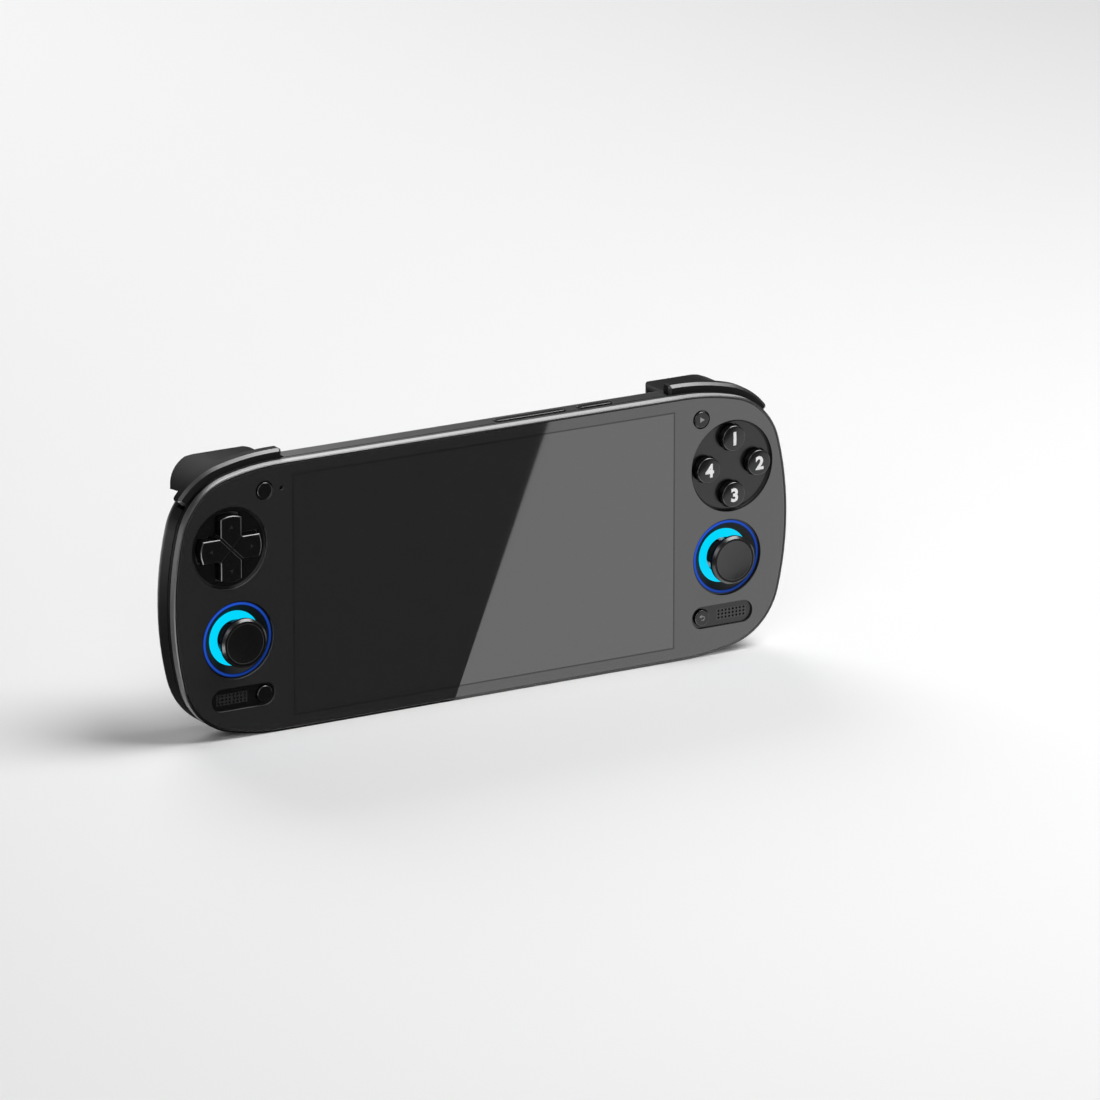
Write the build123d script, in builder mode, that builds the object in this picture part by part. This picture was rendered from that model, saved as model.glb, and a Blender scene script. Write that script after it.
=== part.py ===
from build123d import *
import os
from math import cos, radians, sin, sqrt

# A handheld game console that stands upright on its lower long edge.
# X runs to the player's right, Y from the glass to the back and Z up.
# The origin is on the flat lower edge, at mid thickness.
# Depths are counted from the front of the cover glass towards the back.
# Places across the front are counted from the centre of the display.

# Units and shared clearances
MM = 1.0
cut_overrun = 1.0 * MM
running_gap = 0.05 * MM
seat_gap = 0.15 * MM
travel_gap = 0.3 * MM

# Display and cover glass: the display fills the body's height
display_aspect_share = 1.7775
display_border = 1.4 * MM
display_margin = 3.13 * MM
display_thickness = 1.7 * MM
glass_thickness = 0.85 * MM

# Outline of the seam between glass and frame: a quarter of it is three tangent arcs
wing_margin = 5.35 * MM
corner_radius = 23.9 * MM
shoulder_radius = 87.5 * MM
corner_start_angle = 14.0
corner_end_angle = 75.5
seam_gap = 0.25 * MM

# Mid frame
rim_width = 0.95 * MM
rim_chamfer = 0.35 * MM
band_depth = 5.0 * MM
frame_inset = 2.5 * MM
web_depth = 2.7 * MM
web_thickness = 1.0 * MM
board_boss_radius = 2.0 * MM

# Rear shell
body_depth = 17.0 * MM
shell_wall = 1.8 * MM
back_edge_radius = 6.0 * MM
groove_width = 0.5 * MM
groove_depth = 1.0 * MM
grip_margin = 7.35 * MM
grip_z = -4.0 * MM
grip_width = 28.0 * MM
grip_height = 58.0 * MM
grip_rise = 4.6 * MM
grip_taper = 45.0
grip_round = 3.0 * MM
intake_slot_length = 22.0 * MM
intake_slot_width = 1.6 * MM
intake_slot_pitch = 3.2 * MM
intake_slot_count = 8
outlet_slot_length = 4.5 * MM
outlet_slot_pitch = 2.6 * MM
outlet_slot_count = 14
outlet_lift = 3.2 * MM

# Screws and their bosses
screw_margin = 0.6 * MM
screw_top_drop = 15.13 * MM
screw_middle_z = -2.0 * MM
screw_lower_lift = 10.13 * MM
screw_radius = 1.0 * MM
screw_head_radius = 1.9 * MM
screw_head_height = 1.1 * MM
screw_recess = 0.5 * MM
screw_drive_width = 0.5 * MM
screw_drive_length = 2.2 * MM
screw_drive_depth = 0.5 * MM
boss_radius = 2.6 * MM
boss_meeting_depth = 5.2 * MM

# Direction pad
dpad_margin = 6.2 * MM
dpad_lift = 0.1 * MM
dpad_hole_radius = 15.0 * MM
dpad_flange = 1.0 * MM
dpad_length = 24.2 * MM
dpad_arm_width = 8.3 * MM
dpad_arm_bow = 0.9 * MM
dpad_rise = 1.5 * MM
dpad_arm_bottom = 2.9 * MM
dpad_groove_width = 0.8 * MM
dpad_groove_depth = 0.35 * MM
dpad_groove_length = 13.0 * MM
dpad_edge_round = 0.7 * MM
dpad_slot_gap = 0.8 * MM
dpad_skirt_radius = 7.5 * MM
dpad_skirt_front = 3.5 * MM
dpad_skirt_back = 3.95 * MM
dpad_recess_gap = 0.8 * MM
dpad_recess_depth = 0.3 * MM
dpad_ball_radius = 1.2 * MM
dpad_ball_depth = 4.1 * MM
dpad_post_radius = 2.0 * MM
dpad_post_front = 4.35 * MM
dish_sink = 0.5 * MM
dish_edge_depth = 0.9 * MM
dish_slope_width = 1.0 * MM

# Face buttons
face_margin = 5.2 * MM
face_menu_gap = 2.0 * MM
face_hole_radius = 17.0 * MM
face_flange = 0.9 * MM
face_spacing_radius = 10.5 * MM
face_cap_radius = 4.7 * MM
face_cap_gap = 0.45 * MM
face_cap_rise = 1.9 * MM
face_cap_crown = 0.45 * MM
face_cap_round = 0.5 * MM
face_lip = 1.2 * MM
face_lip_front = 2.8 * MM
face_lip_back = 3.4 * MM
face_web_gap = 0.1 * MM

# Silicone membranes
membrane_front = 5.0 * MM
membrane_pad_rise = 0.3 * MM
membrane_pad_radius = 2.5 * MM
membrane_margin = 0.6 * MM
membrane_post_gap = 0.6 * MM

# Control boards behind the buttons
board_front = 5.4 * MM
board_thickness = 1.0 * MM
board_margin = 4.6 * MM
board_below_stick = 14.47 * MM
board_above_face = 14.2 * MM
board_tab_inner = 3.8 * MM
board_tab_outer = 4.3 * MM
board_tab_rise = 3.4 * MM
board_leg_drop = 4.3 * MM
board_edge_inset = 3.6 * MM
board_boss_inner_margin = 2.5 * MM
board_boss_inner_rise = 17.03 * MM
board_boss_outer_margin = 8.35 * MM
board_boss_outer_rise = 15.03 * MM

# Sticks
stick_margin = 10.1 * MM
stick_face_gap = 2.63 * MM
stick_hole_radius = 14.2 * MM
well_flange = 1.0 * MM
well_wall = 1.0 * MM
well_back = 4.6 * MM
ring_inset = 0.5 * MM
ring_width = 1.2 * MM
ring_front = 0.8 * MM
ring_back = 1.3 * MM
glow_radius = 10.0 * MM
glow_hole_radius = 6.75 * MM
glow_front = 3.0 * MM
glow_back = 3.8 * MM
glow_seat_radius = 9.0 * MM
stick_pivot_depth = 9.0 * MM
cap_rise = 5.2 * MM
cap_radius = 8.9 * MM
cap_dish_radius = 7.3 * MM
cap_dish_depth = 0.6 * MM
cap_rim_round = 0.8 * MM
cap_side_height = 2.0 * MM
cap_waist_radius = 6.2 * MM
cap_waist_rise = 1.6 * MM
neck_radius = 3.2 * MM
neck_front_rise = 1.0 * MM
skirt_radius = 7.6 * MM
skirt_wall = 0.8 * MM
skirt_angle = 45.0
shaft_radius = 1.95 * MM
shaft_front_rise = 3.0 * MM
shaft_tail = 2.5 * MM
rocker_radius = 3.7 * MM
rocker_height = 2.4 * MM
rocker_pin_radius = 0.7 * MM
yoke_inner_radius = 4.4 * MM
yoke_outer_radius = 6.0 * MM
yoke_height = 2.2 * MM
yoke_pin_radius = 0.9 * MM
base_size = 16.4 * MM
base_wall = 1.0 * MM
base_back = 13.2 * MM
base_floor = 0.8 * MM

# Small round buttons
menu_margin = 6.7 * MM
menu_drop = 8.33 * MM
small_hole_radius = 3.5 * MM
small_cap_gap = 0.55 * MM
small_cap_rise = 0.35 * MM
small_cap_round = 0.4 * MM
small_lip = 0.5 * MM
small_lip_thickness = 0.6 * MM
key_seat_gap = 0.1 * MM
small_stem_radius = 2.0 * MM
small_stem_back = 4.9 * MM
small_web_hole_radius = 3.4 * MM
mic_margin = 3.35 * MM
mic_radius = 0.8 * MM

# Pill recesses with the speaker grille and the small lower buttons
pill_margin = 6.5 * MM
pill_stick_gap = 2.92 * MM
pill_lower_margin = 9.68 * MM
pill_length = 25.5 * MM
pill_width = 8.3 * MM
pill_flange = 1.0 * MM
pill_plate_back = 1.6 * MM
pill_button_inset = 4.3 * MM
pill_button_hole_radius = 3.3 * MM
pill_button_gap = 0.3 * MM
pill_lip = 0.6 * MM
grille_shift = 4.25 * MM
grille_hole_radius = 0.42 * MM
grille_pitch_x = 1.5 * MM
grille_pitch_z = 1.3 * MM
grille_columns = 8
grille_rows = 3
speaker_shift = 0.3 * MM
speaker_length = 15.4 * MM
speaker_width = 8.0 * MM
speaker_back = 8.4 * MM
speaker_corner = 1.2 * MM

# Shoulder keys: a bar that follows the corner, hinged on a pin at its inner end
bumper_grow = 4.2 * MM
bumper_inset = 2.0 * MM
bumper_front = 5.5 * MM
bumper_back = 9.6 * MM
bumper_margin = 0.1 * MM
bumper_end_angle = 36.0
bumper_chamfer = 1.0 * MM
bumper_corner = 1.2 * MM
foot_width = 5.6 * MM
foot_drop = 8.43 * MM
foot_back = 8.7 * MM
foot_left_margin = 1.0 * MM
bumper_pin_inset = 3.3 * MM
bumper_pin_drop = 6.43 * MM
bumper_pin_radius = 0.8 * MM
bumper_pin_front = 3.9 * MM
bumper_pin_back = 12.0 * MM
pocket_side_gap = 0.8 * MM
pocket_drop = 10.53 * MM
pocket_end_gap_angle = 3.0

# Triggers: hollow lobes hinged on a pin that runs across the corner
trigger_rise = 2.3 * MM
trigger_inner_rise = -0.1 * MM
trigger_middle_inset = 9.5 * MM
trigger_middle_rise = 0.35 * MM
trigger_drop = 7.73 * MM
trigger_front = 10.2 * MM
trigger_back = 29.8 * MM
trigger_back_low = 28.8 * MM
trigger_top_depth = 26.4 * MM
trigger_back_drop = 3.2 * MM
trigger_back_low_drop = 8.9 * MM
trigger_inner_round = 9.0 * MM
trigger_inner_round_depth = 12.3 * MM
trigger_end_round = 3.0 * MM
trigger_outer_round = 11.5 * MM
trigger_flat_reach = 1.5 * MM
trigger_round_reach = 18.8 * MM
trigger_slope_drop = 2.13 * MM
trigger_slope_depth = 13.0 * MM
trigger_wall = 1.5 * MM
trigger_lip_rise = 0.8 * MM
trigger_pin_depth = 12.6 * MM
trigger_pin_drop = 4.7 * MM
trigger_pin_radius = 1.0 * MM
trigger_boss_radius = 2.0 * MM
trigger_boss_inset = 7.4 * MM
trigger_boss_gap = 0.4 * MM
trigger_web_depth = 3.0 * MM
spring_ear_gap = 0.4 * MM
spring_boss_gap = 0.2 * MM
spring_radius = 1.6 * MM
spring_wire_radius = 0.22 * MM
spring_turns = 3

# Brackets that close the shoulder pockets and hold the pins
bracket_side_gap = 0.5 * MM
bracket_reach = 15.8 * MM
bracket_floor_gap = 0.6 * MM
bracket_wall = 0.8 * MM
bracket_front = 9.0 * MM
bracket_shelf_front = 6.6 * MM
bracket_inset = 3.5 * MM
ear_radius = 2.0 * MM
inner_ear_inset = 1.9 * MM
inner_ear_width = 2.8 * MM
outer_ear_reach = 3.3 * MM
outer_ear_width = 2.2 * MM

# Keys on the top edge
key_depth = 7.6 * MM
key_width = 2.7 * MM
key_gap = 0.25 * MM
key_rise = 0.45 * MM
key_lip = 0.8 * MM
key_lip_height = 0.8 * MM
rocker_key_x = 22.5 * MM
rocker_key_length = 29.0 * MM
rocker_key_drop = 0.55 * MM
power_key_x = 49.0 * MM
power_key_length = 14.0 * MM
key_board_x = 32.0 * MM
key_board_length = 62.0 * MM
key_board_width = 3.6 * MM
key_board_thickness = 0.8 * MM
key_board_drop = 2.1 * MM
key_post_length = 2.6 * MM

# Battery, boards and ports
battery_margin = 9.9 * MM
battery_height = 32.0 * MM
battery_lift = 12.83 * MM
battery_thickness = 5.5 * MM
battery_corner = 2.0 * MM
main_board_x = 33.0 * MM
main_board_gap = 5.3 * MM
main_board_length = 82.0 * MM
main_board_height = 39.0 * MM
main_board_boss_radius = 2.0 * MM
main_board_boss_margin = 4.0 * MM
chip_shift_x = -3.0 * MM
chip_shift_z = -1.5 * MM
chip_size = 15.0 * MM
chip_height = 1.2 * MM
shield_shift_x = 21.0 * MM
shield_length = 22.0 * MM
shield_height = 20.0 * MM
shield_thickness = 1.6 * MM
lower_board_x = -10.0 * MM
lower_board_length = 96.0 * MM
lower_board_lift = 1.53 * MM
lower_board_height = 7.2 * MM
lower_board_front = 10.7 * MM
lower_board_thickness = 0.8 * MM
lower_post_radius = 1.6 * MM
lower_post_margin = 4.0 * MM
port_depth = 8.0 * MM
usb_x = 24.0 * MM
usb_width = 9.2 * MM
usb_thickness = 3.4 * MM
usb_wall = 0.25 * MM
usb_length = 7.4 * MM
usb_tongue_width = 6.7 * MM
usb_tongue_thickness = 0.7 * MM
usb_slot_gap = 0.3 * MM
jack_x = -24.0 * MM
jack_bore_radius = 1.8 * MM
jack_nose_radius = 2.6 * MM
jack_width = 6.2 * MM
jack_front = 5.5 * MM
jack_bore_length = 13.0 * MM
port_setback = 0.2 * MM
card_x = -48.0 * MM
card_slot_width = 12.0 * MM
card_slot_height = 1.4 * MM
card_body_width = 14.4 * MM
card_body_front = 6.9 * MM
card_body_length = 7.0 * MM
card_slot_length = 6.0 * MM

# Cooling
fan_x = -33.0 * MM
fan_battery_gap = 0.8 * MM
fan_size = 37.0 * MM
fan_wall = 1.0 * MM
fan_front = 3.7 * MM
fan_back = 11.2 * MM
fan_corner = 3.0 * MM
fan_inlet_radius = 12.5 * MM
fan_cavity_radius = 17.0 * MM
fan_spindle_radius = 1.0 * MM
fan_hub_radius = 6.0 * MM
fan_blade_root_radius = 5.6 * MM
fan_blade_tip_radius = 15.8 * MM
fan_blade_thickness = 0.8 * MM
fan_blade_count = 17
fan_blade_sweep = 28.0
fan_rotor_gap = 0.5 * MM
fan_outlet_height = 30.0 * MM
sink_x = -33.0 * MM
sink_length = 40.0 * MM
sink_fan_gap = 0.7 * MM
sink_height = 8.0 * MM
sink_front = 5.4 * MM
sink_back = 11.2 * MM
sink_plate = 0.8 * MM
fin_thickness = 0.6 * MM
fin_count = 17
pipe_width = 5.0 * MM
pipe_thickness = 2.0 * MM
pipe_lift = 3.4 * MM
pipe_bend_radius = 9.0 * MM
pipe_end_x = -49.0 * MM

# Vibration motors
motor_rise = 12.0 * MM
motor_radius = 5.0 * MM
motor_thickness = 3.4 * MM

# Height of the seam: the controls of one wing stacked from the lower edge to the upper one
menu_face_drop = face_hole_radius + face_menu_gap
face_stick_drop = face_hole_radius + stick_face_gap + stick_hole_radius
stick_pill_drop = stick_hole_radius + pill_stick_gap + pill_width / 2
pill_lift = pill_width / 2 + pill_lower_margin
seam_half_height = (menu_drop + menu_face_drop + face_stick_drop + stick_pill_drop + pill_lift) / 2
body_half_height = seam_half_height + rim_width
centre_height = body_half_height
menu_z = seam_half_height - menu_drop
face_z = menu_z - menu_face_drop
dpad_z = face_z + dpad_lift
stick_z = face_z - face_stick_drop
pill_z = stick_z - stick_pill_drop

# Length of the seam: the display, and on each side a wing wide enough for the face buttons
display_height = 2 * (seam_half_height - display_margin - display_border)
display_width = display_height * display_aspect_share
wing_inner_x = display_width / 2 + display_border
face_flange_radius = face_hole_radius + face_flange
face_web_hole_radius = face_hole_radius - face_web_gap
face_lip_radius = face_cap_radius + face_lip
face_cap_hole_radius = face_cap_radius + face_cap_gap
face_x = wing_inner_x + face_margin + face_flange_radius
seam_half_length = face_x + face_hole_radius + wing_margin
dpad_flange_radius = dpad_hole_radius + dpad_flange
dpad_x = dpad_hole_radius + dpad_margin - seam_half_length
stick_x = seam_half_length - stick_margin - stick_hole_radius
menu_x = wing_inner_x + menu_margin + small_hole_radius
mic_x = -wing_inner_x - mic_margin
pill_x = wing_inner_x + pill_margin + pill_length / 2
pill_button_x = pill_x - pill_length / 2 + pill_button_inset
grille_x = pill_x + grille_shift
speaker_x = grille_x + speaker_shift
grip_x = seam_half_length - grip_margin - grip_width / 2
screw_x = wing_inner_x + screw_margin
screw_heights = (seam_half_height - screw_top_drop, screw_middle_z, screw_lower_lift - seam_half_height)

# Centres of the outline's arcs
corner_rise = seam_half_height - corner_radius * sin(radians(corner_end_angle))
shoulder_rise = shoulder_radius * (1 - sin(radians(corner_end_angle)))
side_radius = (corner_rise - shoulder_rise) / sin(radians(corner_start_angle)) + corner_radius
side_centre_x = seam_half_length - side_radius
corner_centre_x = side_centre_x + (side_radius - corner_radius) * cos(radians(corner_start_angle))
corner_centre_z = (side_radius - corner_radius) * sin(radians(corner_start_angle))
shoulder_centre_x = corner_centre_x + (corner_radius - shoulder_radius) * cos(radians(corner_end_angle))
shoulder_centre_z = corner_centre_z + (corner_radius - shoulder_radius) * sin(radians(corner_end_angle))

# Depths and inner edges
glass_front_y = -body_depth / 2
web_back = web_depth + web_thickness
board_back = board_front + board_thickness
shell_floor_depth = body_depth - shell_wall
shell_grow = rim_width - shell_wall
inner_half_height = seam_half_height + shell_grow

# Control boards and stick wells
board_inner_x = wing_inner_x + board_margin
board_boss_places = (
    (board_inner_x + board_boss_inner_margin, stick_z + board_boss_inner_rise),
    (seam_half_length - board_boss_outer_margin, stick_z + board_boss_outer_rise),
)
well_flange_radius = stick_hole_radius + well_flange
well_body_radius = stick_hole_radius - well_wall
ring_outer_radius = stick_hole_radius - ring_inset
ring_inner_radius = ring_outer_radius - ring_width
small_cap_radius = small_hole_radius - small_cap_gap
small_lip_radius = small_hole_radius + small_lip
pill_button_radius = pill_button_hole_radius - pill_button_gap
pill_lip_radius = pill_button_hole_radius + pill_lip

# Shoulder keys and triggers
bumper_inner_x = wing_inner_x + bumper_margin
foot_outer_x = bumper_inner_x + foot_width
foot_low_z = seam_half_height - foot_drop
bumper_pin_x = bumper_inner_x + bumper_pin_inset
bumper_pin_z = seam_half_height - bumper_pin_drop
pocket_inner_x = bumper_inner_x - pocket_side_gap
pocket_low_z = seam_half_height - pocket_drop
trigger_radius = corner_radius + trigger_rise
trigger_lip_radius = corner_radius + trigger_lip_rise
trigger_inner_x = bumper_inner_x
trigger_inner_z = seam_half_height + trigger_inner_rise
trigger_middle_x = trigger_inner_x + trigger_middle_inset
trigger_middle_z = seam_half_height + trigger_middle_rise
trigger_low_z = seam_half_height - trigger_drop
trigger_slope_z = seam_half_height - trigger_slope_drop
trigger_back_z = seam_half_height - trigger_back_drop
trigger_back_low_z = seam_half_height - trigger_back_low_drop
trigger_pin_z = seam_half_height - trigger_pin_drop
bracket_inner_x = pocket_inner_x + bracket_side_gap
bracket_outer_x = corner_centre_x + bracket_reach
bracket_floor_z = pocket_low_z - bracket_floor_gap
inner_ear_start = trigger_inner_x + inner_ear_inset
inner_ear = (inner_ear_start, inner_ear_start + inner_ear_width)
outer_ear_start = corner_centre_x + outer_ear_reach
outer_ear = (outer_ear_start, outer_ear_start + outer_ear_width)
trigger_pin_ends = (inner_ear[0], outer_ear[1])
trigger_boss_ends = (trigger_inner_x + trigger_boss_inset, outer_ear[0] - trigger_boss_gap)
spring_ends = (inner_ear[1] + spring_ear_gap, trigger_boss_ends[0] - spring_boss_gap)

# Inside behind the display: battery below, main board and fan above it
battery_length = 2 * (screw_x - boss_radius - battery_margin)
battery_z = battery_lift + battery_height / 2 - seam_half_height
battery_top_z = battery_z + battery_height / 2
main_board_z = battery_top_z + main_board_gap + main_board_height / 2
chip_x = main_board_x + chip_shift_x
chip_z = main_board_z + chip_shift_z
shield_x = main_board_x + shield_shift_x
fan_z = battery_top_z + fan_battery_gap + fan_size / 2
sink_low_z = fan_z + fan_size / 2 + sink_fan_gap
sink_middle_z = sink_low_z + sink_height / 2
pipe_z = sink_low_z + pipe_lift
outlet_z = sink_low_z + outlet_lift
lower_board_low_z = lower_board_lift - seam_half_height
motor_z = grip_z + motor_rise


def face_plane(depth):
    """Plane square to the depth, facing the player: x across, y up from the display's centre."""
    return Plane(
        origin=(0, glass_front_y + depth, centre_height), x_dir=(1, 0, 0), z_dir=(0, -1, 0)
    )


def level_plane(height, x=0.0):
    """Level plane: x across from the given x, y the depth; height is from the display's centre."""
    return Plane(origin=(x, glass_front_y, centre_height + height), x_dir=(1, 0, 0), z_dir=(0, 0, 1))


def side_plane(x):
    """Upright plane across the long side: x the depth, y up from the display's centre."""
    return Plane(origin=(x, glass_front_y, centre_height), x_dir=(0, 1, 0), z_dir=(1, 0, 0))


def depth_axis(x, z):
    """Axis square to the glass through a place on the front."""
    return Axis((x, glass_front_y, centre_height + z), (0, 1, 0))


def polar(centre, radius, angle):
    """Point at a radius and an angle in degrees from a centre."""
    return (centre[0] + radius * cos(radians(angle)), centre[1] + radius * sin(radians(angle)))


def body_outline(grow=0.0):
    """Seam outline moved outwards by grow: a quarter of three tangent arcs, mirrored twice."""
    corner_centre = (corner_centre_x, corner_centre_z)
    shoulder_centre = (shoulder_centre_x, shoulder_centre_z)
    corner_sweep = corner_end_angle - corner_start_angle
    with BuildSketch() as outline:
        with BuildLine():
            CenterArc((side_centre_x, 0), side_radius + grow, 0, corner_start_angle)
            CenterArc(corner_centre, corner_radius + grow, corner_start_angle, corner_sweep)
            CenterArc(shoulder_centre, shoulder_radius + grow, corner_end_angle, 90 - corner_end_angle)
            Line((shoulder_centre_x, seam_half_height + grow), (0, seam_half_height + grow))
            mirror(about=Plane.YZ)
            mirror(about=Plane.XZ)
        make_face()
    return outline.sketch


def stadium(length, width):
    """Slot shape with round ends, its whole length along x."""
    with BuildSketch() as slot:
        SlotOverall(length, width)
    return slot.sketch


def mirrored(part):
    """The same piece for the left side."""
    with BuildPart() as left:
        mirror(part, about=Plane.YZ)
    return left.part


pieces = {}


# Cover glass with one hole for each dish, stick, small button and pill
with BuildPart() as front_glass:
    with BuildSketch(face_plane(glass_thickness)):
        add(body_outline(-seam_gap / 2))
        with Locations((dpad_x, dpad_z)):
            Circle(dpad_hole_radius, mode=Mode.SUBTRACT)
        with Locations((face_x, face_z)):
            Circle(face_hole_radius, mode=Mode.SUBTRACT)
        with Locations((stick_x, stick_z), (-stick_x, stick_z)):
            Circle(stick_hole_radius, mode=Mode.SUBTRACT)
        with Locations((menu_x, menu_z), (-menu_x, menu_z)):
            Circle(small_hole_radius, mode=Mode.SUBTRACT)
        with Locations((mic_x, menu_z)):
            Circle(mic_radius, mode=Mode.SUBTRACT)
        with Locations((pill_x, pill_z), (-pill_x, pill_z)):
            add(stadium(pill_length, pill_width), mode=Mode.SUBTRACT)
    extrude(amount=glass_thickness)
pieces["front_glass"] = front_glass.part


# Display module bonded to the back of the glass
with BuildPart() as display_panel:
    with BuildSketch(face_plane(glass_thickness + display_thickness)):
        Rectangle(display_width + 2 * display_border, display_height + 2 * display_border)
    extrude(amount=display_thickness)
pieces["display_panel"] = display_panel.part


# Aluminium mid frame: the bright band round the edge, its inner ledge and the web behind the display
frame_bosses = [(place_x * side, place_z) for place_x, place_z in board_boss_places for side in (1, -1)]
frame_screw_places = [(screw_x * side, height) for height in screw_heights for side in (1, -1)]
with BuildPart() as mid_frame:
    with BuildSketch(face_plane(band_depth)):
        add(body_outline(rim_width))
    extrude(amount=band_depth)
    chamfer(mid_frame.edges().group_by(Axis.Y)[0], rim_chamfer)
    with BuildSketch(face_plane(glass_thickness)):
        add(body_outline(seam_gap / 2))
    extrude(amount=glass_thickness, mode=Mode.SUBTRACT)
    with BuildSketch(face_plane(web_depth)):
        add(body_outline(-frame_inset))
    extrude(amount=web_depth, mode=Mode.SUBTRACT)
    with BuildSketch(face_plane(band_depth)):
        add(body_outline(-frame_inset))
    extrude(amount=band_depth - web_back, mode=Mode.SUBTRACT)
    with BuildSketch(face_plane(web_depth)):
        with Locations((dpad_x, dpad_z)):
            Circle(dpad_flange_radius + seat_gap)
        with Locations((face_x, face_z)):
            Circle(face_flange_radius + seat_gap)
    extrude(amount=web_depth - glass_thickness, mode=Mode.SUBTRACT)
    with BuildSketch(face_plane(web_back)):
        with Locations((dpad_x, dpad_z)):
            Circle(dpad_hole_radius)
        with Locations((face_x, face_z)):
            Circle(face_web_hole_radius)
        with Locations((stick_x, stick_z), (-stick_x, stick_z)):
            Circle(well_body_radius + travel_gap)
        with Locations((menu_x, menu_z), (-menu_x, menu_z)):
            Circle(small_web_hole_radius)
        with Locations((pill_button_x, pill_z), (-pill_button_x, pill_z)):
            Circle(small_web_hole_radius)
        with Locations((mic_x, menu_z)):
            Circle(mic_radius)
        with Locations((speaker_x, pill_z), (-speaker_x, pill_z)):
            Rectangle(grille_columns * grille_pitch_x, grille_rows * grille_pitch_z + grille_pitch_z)
    extrude(amount=web_thickness, mode=Mode.SUBTRACT)
    with BuildSketch(face_plane(board_front)):
        with Locations(*frame_bosses):
            Circle(board_boss_radius)
    extrude(amount=board_front - web_back)
    with BuildSketch(face_plane(board_front)):
        with Locations((main_board_x, main_board_z)):
            with GridLocations(
                main_board_length - 2 * main_board_boss_margin,
                main_board_height - 2 * main_board_boss_margin,
                2,
                2,
            ):
                Circle(main_board_boss_radius)
    extrude(amount=board_front - web_back)
    with BuildSketch(face_plane(boss_meeting_depth)):
        with Locations(*frame_screw_places):
            Circle(boss_radius)
    extrude(amount=boss_meeting_depth - web_back)
    with BuildSketch(face_plane(boss_meeting_depth)):
        with Locations(*frame_screw_places):
            Circle(screw_radius)
    extrude(amount=boss_meeting_depth - web_depth, mode=Mode.SUBTRACT)
    with BuildSketch(face_plane(bumper_front - seat_gap)):
        with Locations((bumper_pin_x, bumper_pin_z), (-bumper_pin_x, bumper_pin_z)):
            Circle(board_boss_radius)
    extrude(amount=bumper_front - seat_gap - web_back)
    with BuildSketch(face_plane(bumper_front)):
        with Locations((bumper_pin_x, bumper_pin_z), (-bumper_pin_x, bumper_pin_z)):
            Circle(bumper_pin_radius)
    extrude(amount=bumper_front - bumper_pin_front, mode=Mode.SUBTRACT)
pieces["mid_frame"] = mid_frame.part


# Rear shell: straight wall, round back edge, two grip swells, bosses, vents, ports and shoulder pockets
inner_grip_width = grip_width - 2 * shell_wall
inner_grip_height = grip_height - 2 * shell_wall
usb_opening_width = usb_width + 2 * usb_slot_gap
usb_opening_thickness = usb_thickness + 2 * usb_slot_gap
pocket_ray_angle = bumper_end_angle - pocket_end_gap_angle
pocket_reach = seam_half_length / 2
lower_post_places = (
    (lower_board_x + lower_board_length / 2 - lower_post_margin, lower_board_low_z + lower_post_margin),
    (lower_board_x - lower_board_length / 2 + lower_post_margin, lower_board_low_z + lower_post_margin),
)
intake_places = [
    (fan_x, fan_z + (row - (intake_slot_count - 1) / 2) * intake_slot_pitch)
    for row in range(intake_slot_count)
]
outlet_places = [
    (sink_x + (column - (outlet_slot_count - 1) / 2) * outlet_slot_pitch, outlet_z)
    for column in range(outlet_slot_count)
]
key_board_top = inner_half_height - key_board_drop
key_post_places = [
    (key_board_x + side * (key_board_length - key_post_length) / 2, key_depth) for side in (1, -1)
]
with BuildPart() as shell_hollow:
    with BuildSketch(face_plane(shell_floor_depth)):
        add(body_outline(shell_grow))
    extrude(amount=shell_floor_depth - band_depth)
    fillet(shell_hollow.edges().group_by(Axis.Y)[-1], back_edge_radius - shell_wall)
    with BuildSketch(face_plane(shell_floor_depth)):
        with Locations((grip_x, grip_z), (-grip_x, grip_z)):
            RectangleRounded(inner_grip_width, inner_grip_height, inner_grip_width / 2 - grip_round)
    extrude(amount=-grip_rise, taper=grip_taper)
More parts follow.
